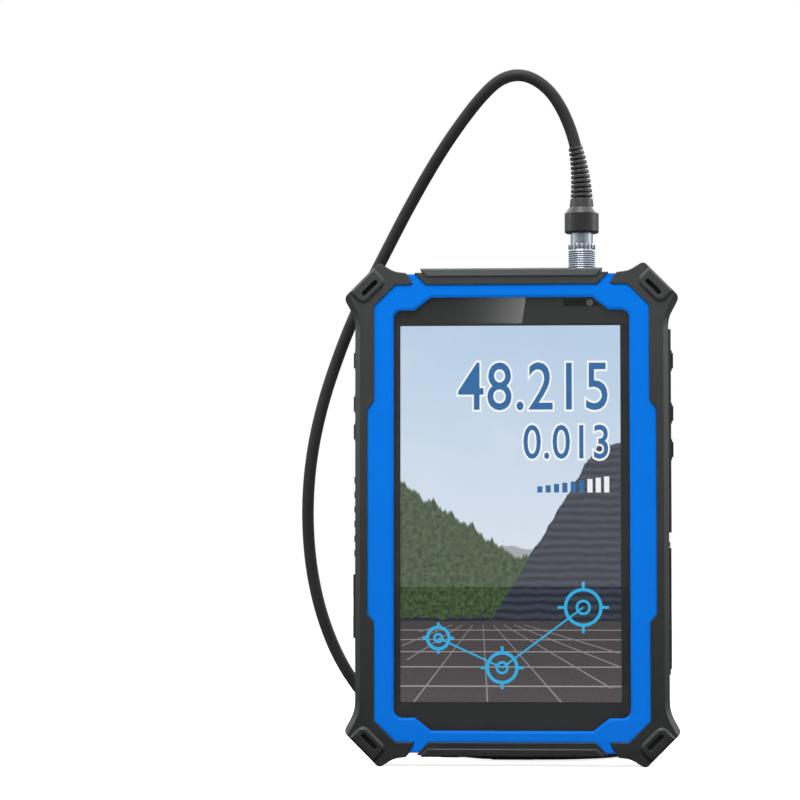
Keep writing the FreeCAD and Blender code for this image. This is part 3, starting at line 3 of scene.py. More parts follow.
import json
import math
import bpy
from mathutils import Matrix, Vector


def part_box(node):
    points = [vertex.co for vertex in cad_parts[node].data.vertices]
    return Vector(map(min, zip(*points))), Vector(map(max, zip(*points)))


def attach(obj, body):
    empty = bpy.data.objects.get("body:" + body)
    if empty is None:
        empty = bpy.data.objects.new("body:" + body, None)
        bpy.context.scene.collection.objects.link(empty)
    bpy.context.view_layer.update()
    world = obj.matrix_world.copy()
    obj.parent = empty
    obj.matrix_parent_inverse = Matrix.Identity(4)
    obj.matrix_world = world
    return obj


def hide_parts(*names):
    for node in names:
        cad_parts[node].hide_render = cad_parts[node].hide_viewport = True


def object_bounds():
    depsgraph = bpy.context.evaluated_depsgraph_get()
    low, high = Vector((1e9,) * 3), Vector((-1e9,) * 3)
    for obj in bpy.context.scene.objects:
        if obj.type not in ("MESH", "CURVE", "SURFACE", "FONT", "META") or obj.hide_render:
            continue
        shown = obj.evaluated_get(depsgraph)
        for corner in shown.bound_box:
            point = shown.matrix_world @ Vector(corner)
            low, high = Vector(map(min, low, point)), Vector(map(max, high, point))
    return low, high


bl_info = {
    "name": "Field data collector",
    "version": (1, 0, 0),
    "blender": (4, 5, 0),
    "location": "3D View > Sidebar > Data collector",
    "description": "Finishes, lead and screen picture of a rugged field data collector",
    "category": "Object",
}

import bmesh
import bpy
import numpy as np
from bpy.props import FloatProperty, FloatVectorProperty, IntProperty, PointerProperty
from mathutils import Vector

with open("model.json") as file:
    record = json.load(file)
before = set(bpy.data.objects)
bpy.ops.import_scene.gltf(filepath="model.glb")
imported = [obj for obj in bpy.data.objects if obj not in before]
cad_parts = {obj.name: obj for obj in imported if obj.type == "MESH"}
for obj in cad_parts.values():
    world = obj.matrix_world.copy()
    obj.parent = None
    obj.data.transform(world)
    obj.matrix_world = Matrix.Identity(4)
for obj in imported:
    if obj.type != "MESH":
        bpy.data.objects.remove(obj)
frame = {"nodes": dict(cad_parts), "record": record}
cad_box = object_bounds()

# The bodies that new pieces ride on
TABLET = "tablet"
LATCH = "latch"

# Places on the housing, in metres
FACE_DEPTH = 0.0105
BUMPER_TOP = 0.205
LIT_LEFT, LIT_RIGHT = -0.0454, 0.0444
LIT_FOOT = 0.0114  # above the foot of the glass
LIT_HEIGHT = 0.1537

# Camera: what it looks at, and its place to the right and up
CAMERA_TARGET = (-0.0461, 0.0, 0.1497)
CAMERA_SIDE = 0.02
CAMERA_HEIGHT = 0.08

# Lamps: the setting of the power, the side of the square, and the place
LAMPS = {
    "key_lamp": ("key_power", 0.4, (-0.10, -0.36, 0.85)),
    "left_lamp": ("left_power", 0.7, (-1.15, 0.05, 0.6)),
    "right_lamp": ("right_power", 0.7, (1.15, 0.05, 0.6)),
    "rear_lamp": ("rear_power", 0.8, (0.25, 0.95, 0.9)),
}
LAMP_TARGET = (0, 0, 0.11)

# Strengths of the surroundings, where 1 is white
SOFT_LIGHT = 0.3
FRONT_SHINE = 0.22
SIDE_SHINE = 1.0
OVERHEAD_SHINE = 2.4

# The soft box in front, as directions seen from the object: its slanted edge, its width, and where it
# fades in above its foot and out towards its top
BOX_EDGE = -0.0272
BOX_SLANT = 0.167
BOX_WIDTH = 0.034
BOX_PEAK = 4.3
BOX_PAST_EDGE = 0.25
BOX_FOOT = (0.0838, 0.0842)
BOX_TOP = (0.12, 0.2)

# Floor
FLOOR_HALF = 12.0
FLOOR_GREY = 0.82
FLOOR_MIRRORED = 0.14


def from_screen(*levels):
    """Linear colour of three display levels from 0 to 255."""
    level = np.array(levels) / 255
    linear = np.where(level <= 0.04045, level / 12.92, ((level + 0.055) / 1.055) ** 2.4)
    return tuple(float(value) for value in linear)


def colour_property(name, description, levels):
    """A colour whose default is given in display levels."""
    default = from_screen(*levels)
    return FloatVectorProperty(
        name=name, description=description, subtype="COLOR", size=3, min=0, max=1, default=default
    )


def length_property(name, description, default):
    """A length in metres."""
    return FloatProperty(
        name=name, description=description, default=default, subtype="DISTANCE", unit="LENGTH"
    )


def power_property(name, description, default):
    """A lamp's power in watts."""
    return FloatProperty(name=name, description=description, default=default, min=0, unit="POWER")


# ---- settings ----
class FinishSettings(bpy.types.PropertyGroup):
    """Main colours of the housing and the lead."""

    rubber: colour_property("Rubber", "Bumpers, strips and keys", (35, 38, 38))
    face: colour_property("Face", "Painted plastic of the front", (0, 117, 226))
    shell: colour_property("Back", "Textured plastic of the back", (44, 46, 47))
    jacket: colour_property("Jacket", "Outer jacket of the lead", (39, 39, 40))
    nickel: colour_property("Nickel", "Plating of the connectors", (150, 158, 168))
    grain: length_property("Grain", "Depth of the moulded grain", 0.00003)


class LeadSettings(bpy.types.PropertyGroup):
    """Sizes of the antenna lead."""

    diameter: length_property("Diameter", "Outer diameter of the jacket", 0.005)
    turn_radius: length_property("Turn radius", "Radius of the middle turns", 0.030)
    coil_x: length_property("Coil across", "Middle of the coil, across", 0.012)
    coil_y: length_property("Coil back", "Middle of the coil, back", 0.0610)
    points_per_turn: IntProperty(
        name="Points per turn", description="Control points in a turn", default=24, min=12
    )


class ScreenSettings(bpy.types.PropertyGroup):
    """Colours of the plain picture on the screen."""

    sky_high: colour_property("Upper sky", "Sky at the top edge", (182, 206, 231))
    sky_low: colour_property("Lower sky", "Sky over the horizon", (218, 227, 238))
    wood: colour_property("Wood", "Dark green of the hills", (62, 80, 52))
    slate: colour_property("Slate", "Dark slope", (54, 60, 72))
    ground: colour_property("Ground", "Near ground", (84, 79, 80))
    marker: colour_property("Marker", "Rings of the survey points", (52, 178, 232))
    figure: colour_property("Figures", "Large figures", (0, 96, 158))
    brightness: FloatProperty(
        name="Brightness", description="Strength of the panel's light", default=1.0, min=0
    )


class StageSettings(bpy.types.PropertyGroup):
    """Camera and lamps."""

    distance: length_property("Distance", "Camera's distance from the middle", 1.2)
    view_width: length_property("View width", "Width of the view at the object", 0.3262)
    key_power: power_property("Key", "Power of the upper lamp", 6.0)
    left_power: power_property("Left", "Power of the left lamp", 2.2)
    right_power: power_property("Right", "Power of the right lamp", 3.8)
    rear_power: power_property("Rear", "Power of the rear lamp", 10.0)


# ---- meshes from arrays ----
def grid_faces(rows, columns, close_rows=False, close_columns=False):
    """Quads of a grid of points, as an array of four indices each."""
    row = np.arange(rows if close_rows else rows - 1)
    column = np.arange(columns if close_columns else columns - 1)
    r, c = np.meshgrid(row, column, indexing="ij")
    r, c = r.ravel(), c.ravel()
    r_next, c_next = (r + 1) % rows, (c + 1) % columns
    corners = [(r, c), (r, c_next), (r_next, c_next), (r_next, c)]
    return np.stack([at_row * columns + at_column for at_row, at_column in corners], axis=1)


def new_object(name, vertices, faces, material, smooth_angle=None):
    """A mesh object from an array of points and lists of faces, with normals made to point outwards."""
    mesh = bpy.data.meshes.new(name)
    points = np.asarray(vertices).reshape(-1, 3)
    mesh.from_pydata(points.tolist(), [], [list(map(int, face)) for face in faces])
    mesh.update()
    made = bpy.data.objects.new(name, mesh)
    bpy.context.scene.collection.objects.link(made)
    turn_outwards(mesh)
    if smooth_angle is not None:
        mesh.polygons.foreach_set("use_smooth", np.ones(len(mesh.polygons), dtype=bool))
        mesh.set_sharp_from_angle(angle=math.radians(smooth_angle))
    mesh.materials.append(material)
    return made


def turn_outwards(mesh):
    """Merges the doubles of a closed mesh and recalculates its normals."""
    work = bmesh.new()
    work.from_mesh(mesh)
    bmesh.ops.remove_doubles(work, verts=work.verts, dist=1e-8)
    bmesh.ops.recalc_face_normals(work, faces=work.faces)
    work.to_mesh(mesh)
    work.free()


def closed_section_sweep(points, closed):
    """Faces of sections (rows of points) in order, closed round and either joined up or capped."""
    rows, columns = points.shape[:2]
    faces = grid_faces(rows, columns, close_rows=closed, close_columns=True).tolist()
    if not closed:
        faces.append(list(range(columns))[::-1])
        faces.append([(rows - 1) * columns + i for i in range(columns)])
    return faces


# ---- finishes ----
class Finish:
    """A material's node tree, with short calls for the nodes that a finish is made of."""

    def __init__(self, name):
        self.material = bpy.data.materials.new(name)
        self.material.use_nodes = True
        self.tree = self.material.node_tree
        self.shader = self.tree.nodes["Principled BSDF"]
        self.place = self.node("ShaderNodeTexCoord").outputs["Object"]

    def node(self, kind, inputs=(), **settings):
        """A new node with its settings, and with its inputs linked or set."""
        made = self.tree.nodes.new(kind)
        for key, value in settings.items():
            setattr(made, key, value)
        for key, value in dict(inputs).items():
            self.put(value, made.inputs[key])
        return made

    def put(self, value, socket):
        """Links an output or sets a constant."""
        if isinstance(value, bpy.types.NodeSocket):
            self.tree.links.new(value, socket)
        elif isinstance(value, (tuple, list)) and len(value) == 3 and socket.type == "RGBA":
            socket.default_value = (*value, 1)
        else:
            socket.default_value = value

    def set(self, **values):
        """Sets the shader's inputs, named with underscores for spaces."""
        for key, value in values.items():
            self.put(value, self.shader.inputs[key.replace("_", " ")])
        return self

    def stretched(self, scale):
        """The place on the object, scaled along each axis."""
        return self.node("ShaderNodeMapping", {"Vector": self.place, "Scale": scale}).outputs["Vector"]

    def noise(self, scale, detail=2.0, rough=0.5, place=None):
        """Cloudy noise from 0 to 1."""
        made = self.node(
            "ShaderNodeTexNoise",
            {"Vector": place or self.place, "Scale": scale, "Detail": detail, "Roughness": rough},
        )
        return made.outputs["Fac"]

    def math(self, operation, first, second=0.0, third=0.0, clamp=False):
        """One sum on two or three values."""
        inputs = {0: first, 1: second, 2: third}
        return self.node("ShaderNodeMath", inputs, operation=operation, use_clamp=clamp).outputs[0]

    def blend(self, factor, first, second):
        """The first colour at factor 0, the second at 1."""
        made = self.node("ShaderNodeMix", data_type="RGBA")
        for index, value in ((0, factor), (6, first), (7, second)):
            self.put(value, made.inputs[index])
        return made.outputs[2]

    def between(self, value, low, high, to_low=0.0, to_high=1.0):
        """Straight ramp of a value from one range to another, held at its ends."""
        made = self.node(
            "ShaderNodeMapRange",
            {"Value": value, "From Min": low, "From Max": high, "To Min": to_low, "To Max": to_high},
        )
        return made.outputs["Result"]

    def bump(self, height, distance, edge=0.0):
        """Raised grain, over edges that look rounded to the given radius."""
        inputs = {"Height": height, "Distance": distance}
        if edge:
            inputs["Normal"] = self.node("ShaderNodeBevel", {"Radius": edge}, samples=6).outputs["Normal"]
        made = self.node("ShaderNodeBump", inputs)
        self.put(made.outputs["Normal"], self.shader.inputs["Normal"])
        return self


def shade(colour, amount):
    """A colour made lighter or darker by a factor."""
    return tuple(min(1.0, channel * amount) for channel in colour)


def moulded(name, colour, rough, grain_scale, grain, specular=0.4, variation=0.12, edge=0.0003):
    """A moulded plastic or rubber: slow tone changes, uneven gloss and a fine raised grain."""
    finish = Finish(name)
    tone = finish.between(finish.noise(55, 3), 0.35, 0.65)
    finish.set(
        Base_Color=finish.blend(tone, shade(colour, 1 - variation), shade(colour, 1 + variation)),
        Roughness=finish.between(finish.noise(420, 3), 0.3, 0.7, rough - 0.05, rough + 0.06),
        Specular_IOR_Level=specular,
    )
    return finish.bump(finish.noise(grain_scale, 3, 0.6), grain, edge).material


def bumper_finish(name, colour, rough, grain, ridge_highlight=1.0, ridge_from=0.0112, edge=0.0006):
    """Bumper rubber with painted shade, darker towards its foot and paler towards its top, and a painted
    highlight on raised ridges.
    """
    finish = Finish(name)
    place = finish.node("ShaderNodeSeparateXYZ", {"Vector": finish.place}).outputs
    tone = finish.between(finish.noise(55, 3), 0.35, 0.65, -0.06, 0.06)
    # Painted shade: the tint runs from a quarter of the colour at the foot to 1.45 times it at the top of
    # the bumpers, as if lit from above
    rise = finish.math("ADD", finish.between(place["Z"], cad_box[0][2], BUMPER_TOP), tone, clamp=True)
    tint = finish.blend(rise, shade(colour, 0.25), shade(colour, 1.45))
    # Painted highlight: the front of the raised ridge is lightened by the given factor, as if lit from
    # above
    if ridge_highlight > 1:
        raised = finish.between(finish.math("ABSOLUTE", place["Y"]), ridge_from, ridge_from + 0.0001)
        tint = finish.blend(raised, tint, shade(colour, ridge_highlight))
    finish.set(Base_Color=tint)
    finish.set(Roughness=finish.between(finish.noise(420, 3), 0.3, 0.7, rough - 0.05, rough + 0.06))
    finish.set(Specular_IOR_Level=0.5)
    return finish.bump(finish.noise(2600, 3, 0.6), grain, edge).material


def flat_tint(name, colour):
    """Print behind glass: an even matt tint with a trace of unevenness."""
    finish = Finish(name)
    tone = finish.between(finish.noise(40, 1), 0.3, 0.7)
    finish.set(Base_Color=finish.blend(tone, shade(colour, 0.97), shade(colour, 1.03)))
    return finish.set(Roughness=0.8, Specular_IOR_Level=0.1).material


def window_film(name, colour, lens_colour, pupil_colour):
    """Dark film over the sensors, clear over the front camera, whose coated lens shows as a paler disc."""
    finish = Finish(name)
    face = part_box("sensor_window")[0][1]
    lens_low, lens_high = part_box("front_camera")
    middle = ((lens_low[0] + lens_high[0]) / 2, face, (lens_low[2] + lens_high[2]) / 2)
    radius = (lens_high[0] - lens_low[0]) / 2
    way = finish.node("ShaderNodeVectorMath", {0: finish.place, 1: middle}, operation="DISTANCE")
    away = way.outputs["Value"]
    lens = finish.blend(finish.between(away, 0.0, 0.7 * radius), pupil_colour, lens_colour)
    finish.set(Base_Color=finish.blend(finish.between(away, 0.9 * radius, radius), lens, colour))
    return finish.set(Roughness=0.8, Specular_IOR_Level=0.1).material


def metal(name, colour, rough, lines=None, grain=0.000004):
    """A plated or machined metal with faint tool lines."""
    finish = Finish(name)
    place = finish.stretched(lines) if lines else finish.place
    marks = finish.noise(900, 3, 0.6, place)
    finish.set(
        Base_Color=finish.blend(finish.between(finish.noise(160, 2), 0.3, 0.7), shade(colour, 0.9), colour),
        Metallic=1.0,
        Roughness=finish.between(marks, 0.3, 0.7, rough - 0.06, rough + 0.08),
    )
    return finish.bump(marks, grain).material


def clear(name, colour, rough=0.0, index=1.45):
    """Clear glass, faintly uneven in its tint, which lets light fall on what lies behind it."""
    finish = Finish(name)
    tone = finish.between(finish.noise(30, 1), 0.3, 0.7)
    finish.set(Base_Color=finish.blend(tone, shade(colour, 0.985), colour))
    finish.set(Roughness=rough, Transmission_Weight=1.0, IOR=index)
    rays = finish.node("ShaderNodeLightPath").outputs
    past = finish.math("MAXIMUM", rays["Is Shadow Ray"], rays["Is Diffuse Ray"])
    through = finish.node("ShaderNodeBsdfTransparent").outputs[0]
    both = finish.node("ShaderNodeMixShader", {0: past, 1: finish.shader.outputs[0], 2: through})
    finish.put(both.outputs[0], finish.tree.nodes["Material Output"].inputs["Surface"])
    return finish.material


def board(name):
    """A circuit board: solder mask over a faint pattern of tracks."""
    finish = Finish(name)
    inputs = {"Vector": finish.place, "Scale": 420.0}
    cells = finish.node("ShaderNodeTexVoronoi", inputs, distance="CHEBYCHEV")
    track = finish.between(cells.outputs["Distance"], 0.28, 0.34)
    finish.set(
        Base_Color=finish.blend(track, from_screen(24, 88, 52), from_screen(12, 60, 36)),
        Roughness=finish.between(finish.noise(300), 0.3, 0.7, 0.3, 0.42),
    )
    return finish.bump(track, 0.00003).material


def woven(name, colour):
    """Hook-and-loop tape: a dense short pile."""
    finish = Finish(name)
    pile = finish.noise(2600, 4, 0.75)
    finish.set(Base_Color=finish.blend(pile, shade(colour, 0.6), shade(colour, 1.6)))
    finish.set(Roughness=0.9, Sheen_Weight=0.4)
    return finish.bump(pile, 0.00012).material


# ---- the picture on the screen ----
SHEET_STEP = 0.00002
SHEET_THICKNESS = 0.00001


def picture_backdrop(look, lit_low, lit_high):
    """Sky, far wooded hills, a dark slope and the ground, as bands cut by noise along the width."""
    finish = Finish("screen_picture")
    parts = finish.node("ShaderNodeSeparateXYZ", {"Vector": finish.place})
    x, z = parts.outputs["X"], parts.outputs["Z"]
    height = finish.between(z, lit_low[2], lit_high[2])
    width = finish.between(x, lit_low[0], lit_high[0])
    flat = finish.node("ShaderNodeCombineXYZ", {"X": x, "Y": 0.0, "Z": z}).outputs["Vector"]
    along = finish.node("ShaderNodeCombineXYZ", {"X": x, "Y": 0.0, "Z": 0.0}).outputs["Vector"]

    haze = finish.math("ADD", finish.between(height, 0.38, 1.0), finish.math("MULTIPLY", width, 0.1))
    cloud = finish.math("MULTIPLY", finish.between(finish.noise(26, 4, 0.55, flat), 0.5, 0.75), 0.25)
    clear_sky = finish.math("SUBTRACT", haze, cloud, clamp=True)
    sky = finish.blend(clear_sky, tuple(look.sky_low), tuple(look.sky_high))

    def below(line, edge=0.004):
        return finish.between(finish.math("SUBTRACT", line, height), 0.0, edge)

    leaf = finish.noise(520, 5, 0.75, flat)
    wood = finish.blend(finish.between(leaf, 0.36, 0.66), shade(look.wood, 0.35), shade(look.wood, 1.9))
    far_line = finish.math("MULTIPLY_ADD", finish.noise(38, 2, 0.5, along), 0.16, 0.335)
    far = finish.blend(0.55, tuple(look.sky_low), tuple(look.wood))
    picture = finish.blend(below(far_line), sky, far)

    crown = finish.math("MULTIPLY_ADD", finish.noise(150, 4, 0.7, along), 0.12, 0.33)
    rise = finish.between(width, 0.0, 0.52, 0.2, 0.0)
    picture = finish.blend(below(finish.math("ADD", crown, rise), 0.008), picture, wood)

    strata = finish.node(
        "ShaderNodeTexWave",
        {"Vector": flat, "Scale": 95.0, "Distortion": 2.5, "Detail": 3.0, "Detail Scale": 1.5},
        bands_direction="Z",
    ).outputs["Fac"]
    rock = finish.blend(strata, shade(look.slate, 0.55), shade(look.slate, 1.35))
    cliff = finish.between(width, 0.42, 0.9, 0.2, 0.66)
    cliff = finish.math("ADD", cliff, finish.math("MULTIPLY", finish.noise(190, 3, 0.6, along), 0.05))
    picture = finish.blend(below(cliff, 0.003), picture, rock)

    speck = finish.between(finish.noise(1100, 3, 0.7, flat), 0.35, 0.65)
    soil = finish.blend(speck, shade(look.ground, 0.86), shade(look.ground, 1.12))
    depth = finish.between(height, 0.0, 0.215)
    soil = finish.blend(finish.math("MULTIPLY", depth, 0.45), soil, shade(look.ground, 0.5))
    picture = finish.blend(below(0.215, 0.002), picture, soil)

    finish.set(
        Base_Color=from_screen(10, 10, 12),
        Roughness=0.6,
        Specular_IOR_Level=0.0,
        Emission_Color=picture,
        Emission_Strength=look.brightness,
    )
    return finish.material


def lit(name, colour, brightness):
    """A flat tint of the panel, faintly uneven from cell to cell."""
    finish = Finish(name)
    cell = finish.between(finish.noise(2400, 1), 0.4, 0.6)
    finish.set(
        Base_Color=from_screen(10, 10, 12),
        Roughness=0.6,
        Specular_IOR_Level=0.0,
        Emission_Color=finish.blend(cell, shade(colour, 0.97), colour),
        Emission_Strength=brightness,
    )
    return finish.material


def flat_ribbon(path, width, front, back, closed):
    """Thin plate along a path in the screen's plane: at each point the section is a rectangle, as wide as
    width across the path's direction and from front to back in depth."""
    path = np.asarray(path, dtype=float)
    if closed:
        along = np.roll(path, -1, axis=0) - np.roll(path, 1, axis=0)
    else:
        along = np.gradient(path, axis=0)
    along /= np.linalg.norm(along, axis=1, keepdims=True)
    side = np.stack([-along[:, 1], along[:, 0]], axis=1) * (np.asarray(width).reshape(-1, 1) / 2)
    left, right = path + side, path - side
    corners = [(left, front), (right, front), (right, back), (left, back)]
    rails = [np.stack([p[:, 0], np.full(len(p), y), p[:, 1]], axis=1) for p, y in corners]
    section = np.stack(rails, axis=1)
    return section, closed_section_sweep(section, closed)


def join(pieces):
    """One list of points and faces from several."""
    points, faces, start = [], [], 0
    for section, local in pieces:
        block = section.reshape(-1, 3)
        points.append(block)
        faces += [[index + start for index in face] for face in local]
        start += len(block)
    return np.concatenate(points), faces


def ring(x, z, radius, count=64):
    """Points of a circle in the screen's plane."""
    angle = np.linspace(0, 2 * np.pi, count, endpoint=False)
    return np.stack([x + radius * np.cos(angle), z + radius * np.sin(angle)], axis=1)


class DATACOLLECTOR_OT_screen(bpy.types.Operator):
    """Gives the panel its plain survey picture: field lines, survey points and figures"""

    bl_idname = "datacollector.screen"
    bl_label = "Screen picture"

    def execute(self, context):
        look = context.scene.data_collector_screen
        low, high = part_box("display_panel")
        face = low[1]
        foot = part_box("cover_glass")[0][2] + LIT_FOOT
        top = foot + LIT_HEIGHT
        panel = frame["nodes"]["display_panel"]
        panel.data.materials.clear()
        panel.data.materials.append(picture_backdrop(look, (LIT_LEFT, face, foot), (LIT_RIGHT, face, top)))

        def layer(level):
            """Front and back of a sheet in front of the panel."""
            front = face - SHEET_STEP * level
            return front, front + SHEET_THICKNESS

        def add(name, shapes, colour, level):
            points, faces = join(shapes)
            made = new_object(name, points, faces, lit(name, colour, look.brightness))
            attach(made, TABLET)
            return made

        horizon = foot + 0.0325
        vanish = np.array([-0.012, horizon + 0.004])
        front, back = layer(1)
        rows = []
        for step in (0.10, 0.22, 0.37, 0.56, 0.80):
            z = horizon - step * (horizon - foot)
            ends = [(LIT_LEFT, z), (LIT_RIGHT, z)]
            rows.append(flat_ribbon(ends, 0.00022 + 0.0004 * step, front, back, False))
        columns = []
        for start in np.linspace(-0.13, 0.11, 9):
            near = np.array([start, foot])
            reach = np.linspace(0.0, 0.86, 12)[:, None]
            line = near + (vanish - near) * reach
            inside = (line[:, 0] > LIT_LEFT) & (line[:, 0] < LIT_RIGHT)
            if inside.sum() > 1:
                line, reach = line[inside], reach[inside]
                columns.append(flat_ribbon(line, 0.0007 * (1 - 0.8 * reach[:, 0]), front, back, False))
        add("field_rows", rows, from_screen(160, 157, 158), 1)
        add("field_columns", columns, from_screen(142, 140, 142), 1)

        front, back = layer(2)
        stations = [
            (-0.030, foot + 0.026, 0.0044),
            (-0.004, foot + 0.014, 0.0060),
            (0.029, foot + 0.0385, 0.0072),
        ]
        path = np.array([(x, z) for x, z, size in stations])
        legs = [flat_ribbon(path[i : i + 2], 0.0007, front, back, False) for i in range(len(path) - 1)]
        add("survey_legs", legs, tuple(look.marker), 2)
        front, back = layer(3)
        marks = []
        for x, z, size in stations:
            marks.append(flat_ribbon(ring(x, z, size), 0.0013, front, back, True))
            marks.append(flat_ribbon(ring(x, z, size * 0.36), 0.0010, front, back, True))
            for dx, dz in ((1, 0), (-1, 0), (0, 1), (0, -1)):
                arm = [(x + dx * size, z + dz * size), (x + dx * size * 1.45, z + dz * size * 1.45)]
                marks.append(flat_ribbon(arm, 0.0011, front, back, False))
        add("survey_points", marks, tuple(look.marker), 3)

        self.figures("48.215", 0.0205, top - 0.0345, look, layer)
        self.figures("0.013", 0.0145, top - 0.0545, look, layer)
        self.gauge(top - 0.0625, layer, look)
        return {"FINISHED"}

    def figures(self, text, size, z, look, layer):
        """Plain figures with a white rim, aligned to the right."""
        right, narrow = 0.0405, 0.80
        for name, offset, colour, level in (
            ("rim", 0.0010, from_screen(246, 250, 252), 2),
            ("fill", 0.00012, tuple(look.figure), 3),
        ):
            front, back = layer(level)
            curve = bpy.data.curves.new("figures", "FONT")
            curve.body = text
            curve.size = size * 1.35
            curve.align_x = "RIGHT"
            curve.offset = offset
            curve.space_character = 1.04
            curve.resolution_u = 4
            curve.extrude = (back - front) / 2
            carrier = bpy.data.objects.new("figures", curve)
            context = bpy.context
            context.scene.collection.objects.link(carrier)
            graph = context.evaluated_depsgraph_get()
            mesh = bpy.data.meshes.new_from_object(carrier.evaluated_get(graph))
            bpy.data.objects.remove(carrier)
            flat = np.empty(len(mesh.vertices) * 3, dtype=np.float32)
            mesh.vertices.foreach_get("co", flat)
            flat = flat.reshape(-1, 3)
            middle = (front + back) / 2
            placed = np.stack([right + flat[:, 0] * narrow, middle - flat[:, 2], z + flat[:, 1]], axis=1)
            mesh.vertices.foreach_set("co", placed.ravel())
            turn_outwards(mesh)
            label = f"figures_{name}_{text.replace('.', '_')}"
            made = bpy.data.objects.new(label, mesh)
            context.scene.collection.objects.link(made)
            mesh.materials.clear()
            mesh.materials.append(lit(label, colour, look.brightness))
            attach(made, TABLET)

    def gauge(self, z, layer, look):
        """A row of bars of growing height, the last ones pale."""
        front, back = layer(2)
        bars = []
        for index in range(9):
            x = 0.0115 + index * 0.0034
            ends = [(x, z - 0.006), (x, z - 0.0035 + index * 0.0005)]
            bars.append(flat_ribbon(ends, 0.0021, front, back, False))
        for name, shapes, colour in (
            ("gauge_filled", bars[:6], tuple(look.figure)),
            ("gauge_empty", bars[6:], from_screen(238, 243, 248)),
        ):
            points, faces = join(shapes)
            made = new_object(name, points, faces, lit(name, colour, look.brightness))
            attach(made, TABLET)


